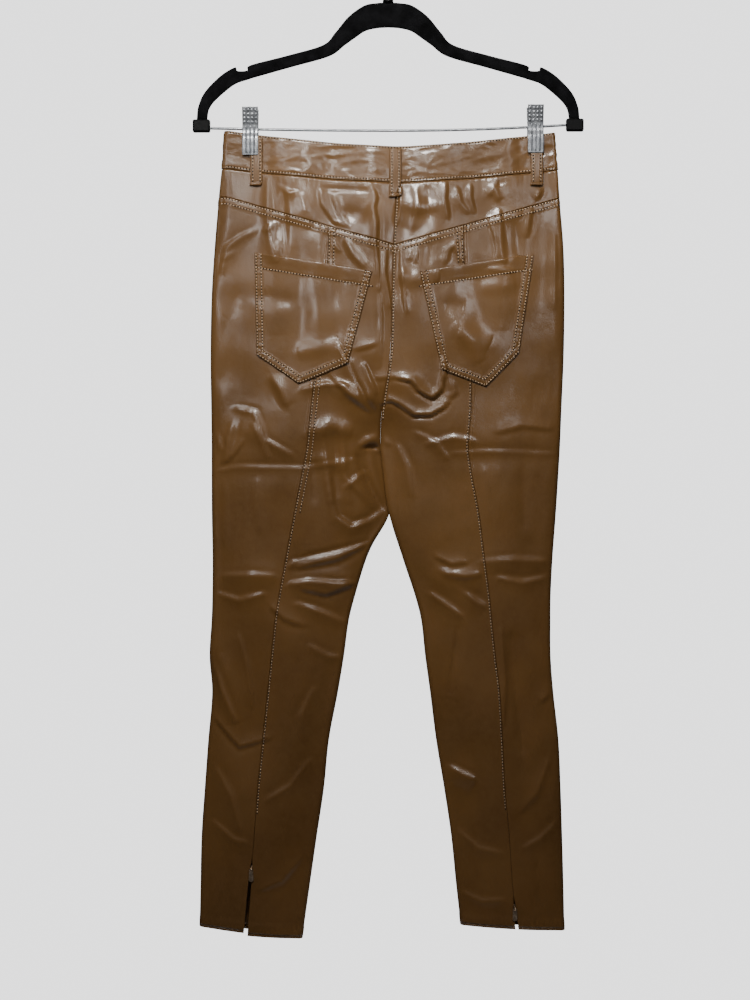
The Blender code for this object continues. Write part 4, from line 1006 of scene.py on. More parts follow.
def panel_places(side, part, levels, count):
    """Runs and heights of a panel's grid. A level is (stretch, share of the stretch)."""
    z = np.full((len(levels), 1), CROTCH) * np.ones((1, count + 2 * len(EDGE_STEPS) - 1))
    share = np.array([share for _, share in levels])[:, None]
    stretch = np.array([name for name, _ in levels])[:, None]
    for _ in range(6):
        runs = []
        for column in range(z.shape[1]):
            start, end = run_limits(side, part, z[:, column])
            runs.append(graded(start, end, count)[:, column])
        run = np.stack(runs, axis=1)
        x = smooth_skin(side, "back", run, z)[0][..., 0]
        above, yoke = sagging(WAIST_SEAM, x), sagging(YOKE_SEAM, x)
        z = np.where(stretch == "yoke", above + (yoke - above) * share,
                     np.where(stretch == "seat", yoke + (CROTCH - yoke) * share,
                              CROTCH + (hem_height(side, x) - CROTCH) * share))
    if part == "inner":
        seam = run_at(side, seam_x(side, z), z)
        z = z - SLIT_FLAP[side] * smooth_step(-SLIT_TOP[side], -BOTTOM, -z) * run / seam
    return run, z, x


def even_levels(stretch, count, start=0.0):
    """Evenly spaced levels of one stretch."""
    return [(stretch, start + (1.0 - start) * step / count) for step in range(1, count + 1)]


def edge_levels(stretch, length):
    """Close levels at the top of a stretch of about the given length."""
    return [(stretch, step / length) for step in EDGE_STEPS]


print("Hem heights:", [round(float(hem_height(side, np.array(side_x(side, BOTTOM)))), 4) for side in HEM])

# %% [markdown]
# A panel's grid has close columns at its seams, where the relief is fine, and wide ones between. Its
# hem is turned in, as the real one is, and a front's top edge tucks in behind the waistband. Between
# its seams a column is about 3 mm wide, which is fine enough for the creases and still light.

# %% Panels
HEM_TURN = 0.0130
HEM_LIFT = 0.0005
YOKE_SLOPE = 0.96
YOKE_ROWS = (0.0014, 0.0072)
CENTRE_ROWS = (0.0020, 0.0020)
LAPPED_ROWS = (0.0016, 0.0066)
SINGLE_ROW = (0.0016,)
TUCK_DEPTH = 0.0023
TUCK_LEVELS = [("yoke", -0.12), ("yoke", -0.035), ("yoke", -0.018)]


def hem_relief(distance, along):
    """A turned hem: a slight step at the top of the turning, one furrow and small puckers."""
    step = HEM_LIFT * (1.0 - smooth_step(HEM_TURN - 0.0008, HEM_TURN + 0.0012, distance))
    furrow = -0.0003 * np.exp(-((distance - HEM_TURN + 0.0020) / FURROW_HALF) ** 2)
    puckers = 0.00012 * np.sin(along * 2 * math.pi / 0.0052) * (distance < HEM_TURN)
    return step + furrow + roll(distance, 0.0006) + puckers


def panel_relief(side, part, run, z, x):
    """How far a panel's outer face stands off its creased middle, for its seams."""
    start, end = run_limits(side, part, z)
    near, far = run - start, end - run
    below_yoke = (sagging(YOKE_SEAM, x) - z) * YOKE_SLOPE
    seam_fade = 0.20 + 0.50 * smooth_step(-0.60, -0.48, z)
    relief = roll(near) * (seam_fade if part == "outer" else 0.6)
    relief = relief + roll(far) * (seam_fade if part == "inner" else 0.6)
    if part == "front":
        relief = relief + roll((sagging(WAIST_SEAM, x) - z).clip(0.0), 0.0006) + tucked(x, z)
    else:
        relief = relief + roll(below_yoke)
        relief = relief + band(below_yoke, x, YOKE_ROWS, 0.0088, seed=7)
    centre = (z > CROTCH - 0.002) * smooth_step(CROTCH - 0.004, CROTCH + 0.01, z)
    if part == "inner" and side == "right":
        relief = relief + centre * band(near, z, CENTRE_ROWS, 0.0042, 0.00016, 0.0004, 11)
    if part != "front":
        rows = LAPPED_ROWS if part == "inner" and side == "left" else SINGLE_ROW
        leg = band(far if part == "inner" else near, z, rows, rows[-1] + 0.0018, 0.00020, 0.00038, 13)
        relief = relief + leg * (0.15 + 0.85 * smooth_step(-0.68, -0.56, z))
    return relief + hem_relief(z - hem_height(side, x), x)


def tucked(x, z):
    """The seam allowance at the waist, which goes in behind the waistband."""
    return -TUCK_DEPTH * smooth_step(-0.0001, 0.0009, z - sagging(WAIST_SEAM, x))


PANEL_COUNT = {"inner": 30, "outer": 40, "front": 56}
SEAT_LEVELS = {"back": 108, "front": 75}
LEG_LEVELS = {"back": 240, "front": 144}
SEAT_LENGTH = 0.25


def make_panel(name, side, face, part):
    """One leg panel, from its top seam to its hem."""
    if part == "front":
        levels = TUCK_LEVELS + [("yoke", SEAM_INSET / 0.04)] + even_levels("yoke", 12)
        levels += even_levels("seat", SEAT_LEVELS[face])
    else:
        levels = edge_levels("seat", SEAT_LENGTH)
        levels += even_levels("seat", SEAT_LEVELS[face], levels[-1][1])
    levels += even_levels("leg", LEG_LEVELS[face])[:-1]
    levels += [("leg", 1.0 - step / 0.55) for step in (0.004, 0.0025, 0.0012, 0.0004, 0.0)]
    run, z, x = panel_places(side, part, levels, PANEL_COUNT[part])
    middle = cloth(side, face, run, z)
    relief = panel_relief(side, part, run, z, x)
    outer = middle + normals_of(middle, face) * (WALL / 2 + relief)[..., None]
    keep = (z > CROTCH) & ((outer[..., 0] - centre_x(z)) * SIDE_SIGN[side] < CENTRE_INSET)
    outer[..., 0] = np.where(keep, centre_x(z) + SIDE_SIGN[side] * CENTRE_INSET, outer[..., 0])
    smooth = smooth_skin(side, face, run, z)[0]
    return add_cloth(name, name, face, outer, smooth, WALL, LEATHER_MATERIAL)


def make_yoke(side):
    """The shaped band between the waistband and the leg panels."""
    levels = TUCK_LEVELS + [("yoke", SEAM_INSET / 0.04)] + even_levels("yoke", 24)
    levels += [("yoke", 1.0 - step / 0.05) for step in (0.0012, 0.0006, 0.0)]
    levels = sorted(set(levels), key=lambda level: level[1])
    run, z, x = panel_places(side, "yoke", levels, 84)
    middle = cloth(side, "back", run, z)
    below, above = (z - sagging(YOKE_SEAM, x)), sagging(WAIST_SEAM, x) - z
    relief = roll(below) + roll(above.clip(0.0), 0.0006) + tucked(x, z)
    relief = relief + roll(run) * (1.0 if side == "right" else 0.6)
    if side == "right":
        relief = relief + band(run, z, CENTRE_ROWS, 0.0042, 0.00016, 0.0004, 11)
    relief = relief + 0.00018 * np.exp(-above / 0.008) * np.sin(x * 2 * math.pi / 0.0062 + 2 * np.sin(x * 90))
    outer = middle + normals_of(middle, "back") * (WALL / 2 + relief)[..., None]
    name = "yoke_" + side
    smooth = smooth_skin(side, "back", run, z)[0]
    return add_cloth(name, name, "back", outer, smooth, WALL, LEATHER_MATERIAL)


for side in ("left", "right"):
    make_yoke(side)
    make_panel("front_" + side, side, "front", "front")
    for part in ("inner", "outer"):
        make_panel("back_" + part + "_" + side, side, "back", part)
print("Faces in panels:", sum(len(mesh.polygons) for face in SURFACES for _, mesh in SURFACES[face]))

# %% [markdown]
# ## Pieces laid on the panels
# The waistband, the loops, the pockets and the fly lie on top of the cloth. Each follows the same
# creased form, moved out by its own height, so that it bends with what is under it and never
# cuts through it.

# %% Helpers for laid-on pieces
WAISTBAND_WALL = 0.0024
LOOP_WALL = 0.0016
TAPE_WALL = 0.0010
OVERLAY_LIFT = 0.0006


def run_over(side, x, z):
    """How far round the half section a point lies, counting on over the centre seam."""
    across, radius = np.abs(x - inner_x(side, z)), section("fold_radius", z)
    return np.where(across < radius, across * math.pi / 2, across + radius * (math.pi / 2 - 1.0))


def cloth_at(face, x, z, creased=True):
    """Points on the middle of the cloth at x and z, on whichever side of the centre they are."""
    made = cloth if creased else (lambda *place: smooth_skin(*place)[0])
    left = made("left", face, run_over("left", x, z), z)
    right = made("right", face, run_over("right", x, z), z)
    return np.where((x < centre_x(z))[..., None], left, right)


def shares(length, count, ends=EDGE_STEPS):
    """Shares from 0 to 1, close together at both ends of a piece of the given length."""
    low = ends / length
    between = low[-1] + (1.0 - 2 * low[-1]) * np.arange(1, count) / count
    return np.concatenate(((0.0,), low, between, 1.0 - low[::-1], (1.0,)))


def overlay(name, node, face, x, z, lift, relief, wall, layer):
    """A cloth piece laid over the garment, from arrays of x and z."""
    middle = cloth_at(face, x, z)
    outer = middle + normals_of(middle, face) * (lift + wall / 2 + relief)[..., None]
    return add_cloth(name, node, face, outer, cloth_at(face, x, z, False), wall,
                     LEATHER_MATERIAL, layer=layer)


print("Column shares of a 120 mm piece:", len(shares(0.12, 70)))

# %% [markdown]
# ## Waistband
# The waistband is one folded strip that starts at the centre front, runs round the back and laps
# over its own start. It is stiffer than the rest and has a row of stitches close to each edge.

# %% Waistband
WAIST_RAMP = 0.010
WAIST_OVERLAP = 0.032
BAND_DEPTH = 0.042


def band_part(side, face, down):
    """Points and heights of a quarter of the waistband, from the inner edge to the side."""
    z = np.full((len(down), 105), -0.24)
    share = np.linspace(0.0, 1.0, z.shape[1])[None, :]
    for _ in range(5):
        run = run_length(side, z) * share
        x = smooth_skin(side, face, run, z)[0][..., 0]
        top, bottom = sagging(WAIST_TOP, x), sagging(WAIST_SEAM, x) + 2 * SEAM_INSET
        z = top + (bottom - top) * down[:, None]
    return cloth(side, face, run, z), smooth_skin(side, face, run, z)[0], x, z


def make_waistband():
    """The strip with its two rows of stitches and its lapped end."""
    down = shares(BAND_DEPTH, 14)
    grids, smooths = [], []
    for side, face in (("left", "front"), ("left", "back"), ("right", "back"), ("right", "front")):
        grid, smooth, x, z = band_part(side, face, down)
        if (side, face) in (("left", "back"), ("right", "front")):
            grid, smooth, x = grid[:, ::-1], smooth[:, ::-1], x[:, ::-1]
        stop = grid.shape[1]
        if (side, face) == ("right", "front"):
            stop = int((x[0] > centre_x(z[0]) + WAIST_RAMP).sum())
        first = 0 if not grids else 1
        grids.append(grid[:, first:stop])
        smooths.append(smooth[:, first:stop])
    reach = np.linspace(0.0, WAIST_RAMP + WAIST_OVERLAP, 26)[None, 1:]
    x = centre_x(np.array(-0.24)) + WAIST_RAMP - reach + np.zeros((len(down), 1))
    top, bottom = sagging(WAIST_TOP, x), sagging(WAIST_SEAM, x) + 2 * SEAM_INSET
    z = top + (bottom - top) * down[:, None]
    lap = cloth_at("front", x, z)
    lap[..., 1] += (WAISTBAND_WALL + 0.0006) * smooth_step(0.0, WAIST_RAMP, reach)
    grids.append(lap)
    smooths.append(cloth_at("front", x, z, False))
    middle = np.concatenate(grids, axis=1)
    along = np.concatenate((np.zeros((len(down), 1)), np.cumsum(
        np.linalg.norm(np.diff(middle, axis=1), axis=-1), axis=1)), axis=1)
    deep = down[:, None] * BAND_DEPTH + np.zeros_like(along)
    rise = BAND_DEPTH - deep
    relief = roll(deep, 0.0008) + roll(rise, 0.0009)
    ridges = np.abs(waves(along * 0.5, deep * 1.6, 0.030, 23))
    ridges = ridges + 0.5 * np.abs(waves(along * 0.7, deep, 0.013, 29))
    relief = relief + 0.00060 * (0.6 - ridges)
    for row, distance in ((0.0016, deep), (0.0024, rise)):
        relief = relief - 0.0003 * np.exp(-((distance - row) / FURROW_HALF) ** 2)
    relief = relief + 0.00014 * np.sin(along * 2 * math.pi / 0.0048) * np.exp(-rise / 0.004)
    relief = relief + 0.00025 * waves(along, deep, 0.030, 21)
    outer = middle + normals_of(middle, "back") * (WAISTBAND_WALL / 2 + relief)[..., None]
    smooth = np.concatenate(smooths, axis=1)
    piece = add_cloth("waistband", "waistband", "back", outer, smooth, WAISTBAND_WALL,
                      LEATHER_MATERIAL, layer=1)
    SURFACES["front"].append((1, piece.data))
    return piece


print("Waistband faces:", len(make_waistband().data.polygons))

# %% [markdown]
# ## Pockets
# Each back pocket is a patch with five corners. Its mouth has a deep hem and stands a little off
# the leg. Its other edges are turned in and sewn down with two rows of stitches, which makes the
# puckered frame that such pockets have.

# %% Pockets
POCKETS = {
    "left": {"top_out": (-0.1525, -0.3569), "top_in": (-0.0195, -0.3790), "low_in": (-0.0469, -0.4829),
             "tip": (-0.1024, -0.5060), "low_out": (-0.1503, -0.4727)},
    "right": {"top_out": (+0.1629, -0.3592), "top_in": (+0.0338, -0.3790), "low_in": (+0.0586, -0.4897),
              "tip": (+0.1087, -0.5090), "low_out": (+0.1461, -0.4704)},
}
POCKET_ROWS = (0.0016, 0.0072)
POCKET_FRAME = 0.0088
POCKET_WIDTH = 0.125
POCKET_LENGTH = 0.118
MOUTH_HEM = 0.0166


def from_line(x, z, start, end):
    """Distance of points from a line, and how far along it they are."""
    run = np.array(end) - np.array(start)
    length = np.hypot(*run)
    run = run / length
    along = (x - start[0]) * run[0] + (z - start[1]) * run[1]
    return np.abs((x - start[0]) * run[1] - (z - start[1]) * run[0]), along


def make_pocket(side):
    """One patch pocket, with a grid whose lines follow its edges."""
    spot = {name: np.array(corner) for name, corner in POCKETS[side].items()}
    tip_share = (spot["tip"][0] - spot["low_out"][0]) / (spot["low_in"][0] - spot["low_out"][0])
    across = shares(POCKET_WIDTH, 66)[None, :, None]
    down = shares(POCKET_LENGTH, 62)[:, None, None]
    top = spot["top_out"] + (spot["top_in"] - spot["top_out"]) * across
    near = spot["low_out"] + (spot["tip"] - spot["low_out"]) * across / tip_share
    far = spot["tip"] + (spot["low_in"] - spot["tip"]) * (across - tip_share) / (1.0 - tip_share)
    low = np.where(across <= tip_share, near, far)
    grid = top + (low - top) * down
    x, z = grid[..., 0], grid[..., 1]
    relief = np.zeros(x.shape)
    edges = (("top_out", "low_out"), ("low_out", "tip"), ("tip", "low_in"), ("low_in", "top_in"))
    for number, (start, end) in enumerate(edges):
        distance, along = from_line(x, z, spot[start], spot[end])
        frame_band = band(distance, along, POCKET_ROWS, POCKET_FRAME, 0.00020, 0.0, 30 + number)
        relief = relief + frame_band + roll(distance, 0.0011)
    nearest = np.min([from_line(x, z, spot[start], spot[end])[0] for start, end in edges], axis=0)
    mouth, along = from_line(x, z, spot["top_out"], spot["top_in"])
    frame_lift = 1.0 - smooth_step(POCKET_FRAME - 0.0012, POCKET_FRAME + 0.0012, nearest)
    hem_lift = 1.0 - smooth_step(MOUTH_HEM - 0.0010, MOUTH_HEM + 0.0014, mouth)
    relief = relief + 0.0005 * np.maximum(frame_lift, hem_lift)
    relief = relief - FURROW_DEPTH * np.exp(-((mouth - MOUTH_HEM + 0.0008) / FURROW_HALF) ** 2)
    puckers = 0.00018 * np.sin(along * 2 * math.pi / 0.0049)
    relief = relief + puckers * np.exp(-((mouth - MOUTH_HEM) / 0.003) ** 2)
    free = smooth_step(0.004, 0.024, nearest)
    relief = relief + 0.0014 * free * (1.0 - smooth_step(0.0, 0.016, mouth)) + roll(mouth, 0.0004)
    name = "pocket_" + side
    overlay(name, name, "back", x, z, WALL + OVERLAY_LIFT, relief, WALL, 1)


for side in POCKETS:
    make_pocket(side)
mouth_run = np.array(POCKETS["left"]["top_in"]) - POCKETS["left"]["top_out"]
print("Mouth of the left pocket:", round(float(np.hypot(*mouth_run)), 3))

# %% [markdown]
# ## Belt loops and fly
# A belt loop is a folded strip with a row of stitches down each side. Its ends are turned under,
# and the lower one is sewn down below the waistband, where it makes a small hard bar. The fly is a
# flap over the centre front seam with a round lower corner. Both could be boxes laid on the cloth,
# but strips made from its points bend with it.

# %% Belt loops and fly
LOOP_COLUMNS = ("name", "middle_x", "width", "top", "bottom", "face")
LOOPS = (
    ("belt_loop_centre", +0.0065, 0.0136, -0.2388, -0.2945, "back"),
    ("belt_loop_back_left", -0.1507, 0.0140, -0.2264, -0.2808, "back"),
    ("belt_loop_back_right", +0.1669, 0.0140, -0.2264, -0.2808, "back"),
    ("belt_loop_front_left", -0.0850, 0.0136, -0.2330, -0.2850, "front"),
    ("belt_loop_front_right", +0.0950, 0.0136, -0.2330, -0.2850, "front"),
)
LOOP_ROW = 0.0028
LOOP_BAR = 0.0032
LOOP_LIFT = WAISTBAND_WALL / 2 + OVERLAY_LIFT + 0.0008
FLY_WIDTH = 0.038
FLY_LENGTH = 0.17
FLY_BOTTOM = -0.445
FLY_LIFT = 0.0003
FLY_ROWS = (0.0030, 0.0088)


def make_loop(name, middle_x, width, top, bottom, face):
    """One belt loop, a rounded strip with a thicker turned-under end."""
    across = shares(width, 8, EDGE_STEPS[:6])[None, :]
    down = shares(top - bottom, 40, EDGE_STEPS[:9])[:, None]
    z = top + (bottom - top) * down + 0 * across
    drift = -0.0010 * smooth_step(0.9, 1.0, down) * (face == "back")
    x = middle_x + (across - 0.5) * width + drift + 0 * down
    edge = np.minimum(across, 1.0 - across) * width + 0 * down
    end, head = z - bottom, top - z
    relief = roll(edge, 0.0007) + 0.0003 * smooth_step(0.0, LOOP_ROW, edge)
    relief = relief + roll(end, 0.0008) + roll(head, 0.0006)
    relief = relief - 0.00035 * np.exp(-((edge - LOOP_ROW) / FURROW_HALF) ** 2)
    relief = relief + 0.0007 * (1.0 - smooth_step(LOOP_BAR - 0.0006, LOOP_BAR + 0.0004, end))
    relief = relief - 0.0005 * np.exp(-((end - LOOP_BAR - 0.0008) / 0.0006) ** 2)
    relief = relief + 0.0010 * np.sin(math.pi * np.clip((z - bottom) / (top - bottom), 0.0, 1.0)) ** 2
    overlay(name, name, face, x, z, LOOP_LIFT, relief, LOOP_WALL, 2)


def fly_place(across, down):
    """X and z at shares of the fly's width and length; its lower corner is round."""
    seam = float(centre_x(np.array(WAIST_SEAM[0])))
    x = seam - FLY_WIDTH * across * np.sqrt(1.0 - 0.75 * down ** 6) - SEAM_INSET
    top = sagging(WAIST_SEAM, x) - 2 * SEAM_INSET
    return x, top + (FLY_BOTTOM + 0.02 * across ** 2 - top) * down


def make_fly():
    """The fly, a flap over the centre front seam."""
    across, down = shares(FLY_WIDTH, 14)[None, :], shares(FLY_LENGTH, 60)[:, None]
    x, z = fly_place(across, down)
    edge = across * FLY_WIDTH + 0 * down
    relief = roll(edge, 0.0006) + roll(FLY_WIDTH - edge, 0.0010)
    relief = relief + roll((1 - down) * FLY_LENGTH + 0 * across, 0.0008)
    relief = relief - 0.0003 * np.exp(-((FLY_WIDTH - edge - FLY_ROWS[0]) / FURROW_HALF) ** 2)
    overlay("fly", "fly", "front", x, z, WALL + FLY_LIFT, relief, WALL, 1)


for row in LOOPS:
    make_loop(**dict(zip(LOOP_COLUMNS, row)))
make_fly()
print("Loops:", len(LOOPS), "and a fly", round(FLY_WIDTH * 1000), "mm wide")

# %% [markdown]
# ## Stitches
# Each stitch is a small bead of thread that dips into the cloth at both ends. A line of them is
# laid by casting a ray onto the finished cloth at each pitch, so the thread follows every crease.
# They are joined into one mesh a line of work, which keeps the scene light.

# %% Stitches
THREAD_RADIUS = 0.00070
STITCH_LENGTH = 0.0021
BEAD_RINGS = ((-1.0, 0.15, -0.9), (-0.82, 0.8, -0.25), (-0.35, 1.0, 0.25), (0.35, 1.0, 0.25),
              (0.82, 0.8, -0.25), (1.0, 0.15, -0.9))
BEAD_SIDES = 6
# A needle hole is a flat near-black disc of painted shade between two stitches.
HOLE_SHADE_RADIUS = 0.00085
HOLE_SHADE_LIFT = 0.00045


def surface_tree(face, layers):
    """A tree for casting rays on the cloth of some layers."""
    points, quads = [], []
    for layer, mesh in SURFACES[face]:
        if layer in layers:
            start = len(points)
            places = np.empty(len(mesh.vertices) * 3)
            mesh.vertices.foreach_get("co", places)
            points += [tuple(place) for place in places.reshape(-1, 3)]
            corners = np.empty(len(mesh.loops), int)
            mesh.loops.foreach_get("vertex_index", corners)
            quads += (corners.reshape(-1, 4) + start).tolist()
    return BVHTree.FromPolygons(points, quads)


TREES = {(face, top): surface_tree(face, range(top + 1)) for face in SURFACES for top in range(3)}


def cast(face, layer, x, z):
    """The point and normal of the cloth of a layer at x and z, or None where more lies over it."""
    start, way = Vector((x, FACE_SIGN[face] * 0.2, z)), Vector((0.0, -FACE_SIGN[face], 0.0))
    place, normal, _, _ = TREES[face, layer].ray_cast(start, way)
    top = TREES[face, 2].ray_cast(start, way)[0]
    if place is None or (top - place).length > 0.0004:
        return None
    return place, normal if normal.y * FACE_SIGN[face] > 0 else -normal


def resample(path, pitch, start=0.5):
    """Points at an even pitch along a path of (x, z), with their directions."""
    path = np.array(path, float)
    steps = np.hypot(*np.diff(path, axis=0).T)
    reach = np.concatenate(((0.0,), np.cumsum(steps)))
    count = int(reach[-1] / pitch)
    for number in range(count):
        at = (number + start) * reach[-1] / count
        x, z = np.interp(at, reach, path[:, 0]), np.interp(at, reach, path[:, 1])
        ahead = np.interp(at + 0.001, reach, path[:, 0]), np.interp(at + 0.001, reach, path[:, 1])
        behind = np.interp(at - 0.001, reach, path[:, 0]), np.interp(at - 0.001, reach, path[:, 1])
        yield x, z, ahead[0] - behind[0], ahead[1] - behind[1]


def stitch_lines(name, lines, thread=THREAD_RADIUS):
    """Beads of thread along lines. A line is (face, layer, path of (x, z))."""
    points, faces, holes = [], [], []
    dice = np.random.default_rng(len(name))
    for face, layer, path in lines:
        for x, z, dx, dz in resample(path, STITCH_PITCH):
            found = cast(face, layer, x, z)
            if not found:
                continue
            place, normal = found
            way = Vector((dx, 0.0, dz))
            way = (way - normal * way.dot(normal)).normalized()
            way = (way + normal.cross(way) * dice.uniform(-0.10, 0.10)).normalized()
            aside = normal.cross(way)
            start = len(points)
            for at, size, height in BEAD_RINGS:
                middle = place + way * (at * STITCH_LENGTH / 2) + normal * (thread * height)
                for corner in range(BEAD_SIDES):
                    turn = 2 * math.pi * corner / BEAD_SIDES
                    out = aside * math.cos(turn) + normal * math.sin(turn)
                    points.append(middle + out * thread * size)
            for ring in range(len(BEAD_RINGS) - 1):
                for corner in range(BEAD_SIDES):
                    after = (corner + 1) % BEAD_SIDES
                    low, high = start + ring * BEAD_SIDES, start + (ring + 1) * BEAD_SIDES
                    faces.append((low + corner, low + after, high + after, high + corner))
            faces.append(tuple(start + corner for corner in range(BEAD_SIDES))[::-1])
            last = start + (len(BEAD_RINGS) - 1) * BEAD_SIDES
            faces.append(tuple(last + corner for corner in range(BEAD_SIDES)))
            # This disc between two stitches is painted shade: a near-black patch for the shade inside the
            # needle hole.
            middle = place + way * (STITCH_PITCH / 2) + normal * HOLE_SHADE_LIFT
            start = len(points)
            for corner in range(BEAD_SIDES):
                turn = 2 * math.pi * corner / BEAD_SIDES
                points.append(middle + (aside * math.sin(turn) + way * math.cos(turn)) * HOLE_SHADE_RADIUS)
            holes.append(len(faces))
            faces.append(tuple(start + corner for corner in range(BEAD_SIDES)))
    mesh = bpy.data.meshes.new(name)
    mesh.from_pydata(points, [], faces)
    mesh.shade_smooth()
    mesh.materials.append(THREAD_MATERIAL)
    mesh.materials.append(HOLE_SHADE_MATERIAL)
    for hole in holes:
        mesh.polygons[hole].material_index = 1
    add_piece(name, mesh, THREAD_MATERIAL)
    print(name, len(holes), "stitches")


def sag_path(line, drop, low, high, count=120):
    """A path a little below a sagging line, from low to high in x."""
    x = np.linspace(low, high, count)
    return np.stack((x, sagging(line, x) - drop), axis=1)


def seam_path(side, offset, top, bottom, count=120):
    """A path beside the back leg seam; a positive offset lies towards the inseam."""
    z = np.linspace(top, bottom, count)
    return np.stack((seam_x(side, z) - SIDE_SIGN[side] * offset, z), axis=1)


def pocket_paths(side):
    """The two rows round a pocket and the row under its mouth."""
    spot = {name: np.array(corner) for name, corner in POCKETS[side].items()}
    middle = sum(spot.values()) / len(spot)
    order = ("top_out", "low_out", "tip", "low_in", "top_in")
    paths = []
    for row in POCKET_ROWS:
        lines = []
        for start, end in zip(order, order[1:]):
            run = (spot[end] - spot[start]) / np.hypot(*(spot[end] - spot[start]))
            inward = np.array((-run[1], run[0]))
            inward = inward if inward.dot(middle - spot[start]) > 0 else -inward
            lines.append((spot[start] + inward * row, run))
        path = [lines[0][0] + lines[0][1] * 0.001]
        for (here, run), (there, next_run) in zip(lines, lines[1:]):
            gap = there - here
            turned = run[0] * next_run[1] - run[1] * next_run[0]
            reach = (gap[0] * next_run[1] - gap[1] * next_run[0]) / turned
            path.append(here + run * reach)
        path.append(spot["top_in"] + (lines[-1][0] - spot["low_in"]) - lines[-1][1] * 0.001)
        paths.append(path)
    drop = np.array((0.0, -MOUTH_HEM))
    paths.append([spot["top_out"] + drop, spot["top_in"] + drop])
    return paths


def centre_path(offset, top, bottom, count=80):
    """A path beside the centre back seam."""
    z = np.linspace(top, bottom, count)
    return np.stack((centre_x(z) + offset, z), axis=1)


WAIST_REACH = 0.184
YOKE_REACH = 0.1915
CENTRE_TOP, CENTRE_END = -0.2795, -0.5450
LEG_THREAD = 0.00050
LEG_TOP = -0.3310
POCKET_TOP = -0.3680
BELOW_POCKET = -0.4900
FREE_ROW_END = -0.6500

waist_lines = []
for face in ("back", "front"):
    waist_lines.append((face, 1, sag_path(WAIST_TOP, 0.0016, -WAIST_REACH, WAIST_REACH + 0.001)))
    low_row = sag_path(WAIST_SEAM, -0.0027, -WAIST_REACH - 0.002, WAIST_REACH + 0.004)
    waist_lines.append((face, 1, low_row))
stitch_lines("waistband_stitches", waist_lines)
yoke_paths = [sag_path(YOKE_SEAM, row / YOKE_SLOPE, -YOKE_REACH, YOKE_REACH) for row in YOKE_ROWS]
stitch_lines("yoke_stitches", [("back", 0, path) for path in yoke_paths])
centre_row = centre_path(CENTRE_ROWS[0], CENTRE_TOP, CENTRE_END)
stitch_lines("centre_seam_stitches", [("back", 0, centre_row)])
leg_lines = []
for side in ("left", "right"):
    for offset in LAPPED_ROWS:
        leg_lines.append(("back", 0, seam_path(side, offset, LEG_TOP, POCKET_TOP)))
    near_row = seam_path(side, LAPPED_ROWS[0], BELOW_POCKET, SLIT_TOP[side] + 0.004)
    leg_lines.append(("back", 0, near_row))
    if side == "left":
        far_row = seam_path(side, LAPPED_ROWS[1], BELOW_POCKET, FREE_ROW_END)
        leg_lines.append(("back", 0, far_row))
stitch_lines("leg_seam_stitches", leg_lines, LEG_THREAD)
stitch_lines("pocket_stitches", [("back", 1, path) for side in POCKETS for path in pocket_paths(side)])
loop_lines = []
for _, x, width, top, bottom, face in LOOPS:
    for way in (-1.0, 1.0):
        at = x + way * (width / 2 - LOOP_ROW)
        loop_lines.append((face, 2, ((at, top - 0.002), (at, bottom + LOOP_BAR + 0.002))))
stitch_lines("belt_loop_stitches", loop_lines)
fly_lines = []
for inset in FLY_ROWS:
    path = np.stack(fly_place(1.0 - inset / FLY_WIDTH, np.linspace(0.02, 0.975, 90)), axis=1)
    fly_lines.append(("front", 1, path))
stitch_lines("fly_stitches", fly_lines)

# %% [markdown]
# ## Ankle zips
# Each back leg seam ends in a concealed zip: a woven tape is sewn behind each panel's edge, and
# only the slider's bridge and its small pull show. Below the slider the seam lies open. The
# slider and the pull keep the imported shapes, because they set how the pull turns. The tapes get a
# weave, and a row of small nylon teeth along each edge. The other finishes of the hard pieces are
# made here too. A single value would look like paint, so metal is worn, and velvet has a nap.

# %% Tape weave group and hardware materials
def make_weave():
    """A plain weave: two sets of waves at right angles, one over the other in turn."""
    group, start, end = new_group(
        "plain_weave", (("Threads per metre", "NodeSocketFloat", 1600.0),), (("Height", "NodeSocketFloat"),))
    split = group.nodes.new("ShaderNodeSeparateXYZ")
    group.links.new(object_coords(group), split.inputs[0])
    turn = math_node(group, "MULTIPLY", start.outputs[0], 2 * math.pi)
    across = math_node(group, "SINE", math_node(group, "MULTIPLY", split.outputs["X"], turn))
    down = math_node(group, "SINE", math_node(group, "MULTIPLY", split.outputs["Z"], turn))
    group.links.new(math_node(group, "MULTIPLY", across, down), end.inputs[0])
    return group


WEAVE = make_weave()


def tape_material():
    """Woven zip tape, matt, with a visible weave and painted shade in its hollows."""
    made, tree, shader = start_material("woven_tape", 0.85)
    weave = use_group(tree, WEAVE, Threads_per_metre=1500.0)
    # Colour follows the weave's height: the hollows between threads are painted darker, as shade.
    color = color_mix(tree, weave.outputs["Height"], (0.020, 0.010, 0.006), (0.060, 0.032, 0.018))
    tree.links.new(color, shader.inputs["Base Color"])
    bump(tree, shader, weave.outputs["Height"], 0.6, 0.00015)
    return made


def metal_material(name, dark, light, low, high, metallic=1.0):
    """A metal whose colour and roughness vary a little, with fine marks from handling."""
    made, tree, shader = start_material(name, high, metallic)
    wear = use_group(tree, PATINA, Patches_per_metre=180.0, Cut=0.5)
    tree.links.new(color_mix(tree, wear.outputs["Mask"], dark, light), shader.inputs["Base Color"])
    tree.links.new(spread(tree, wear.outputs["Fine"], 0.3, 0.7, low, high), shader.inputs["Roughness"])
    marks = noise(tree, object_coords(tree), 900.0, 4.0)
    bump(tree, shader, marks.outputs["Fac"], 0.15, 0.0001)
    return made


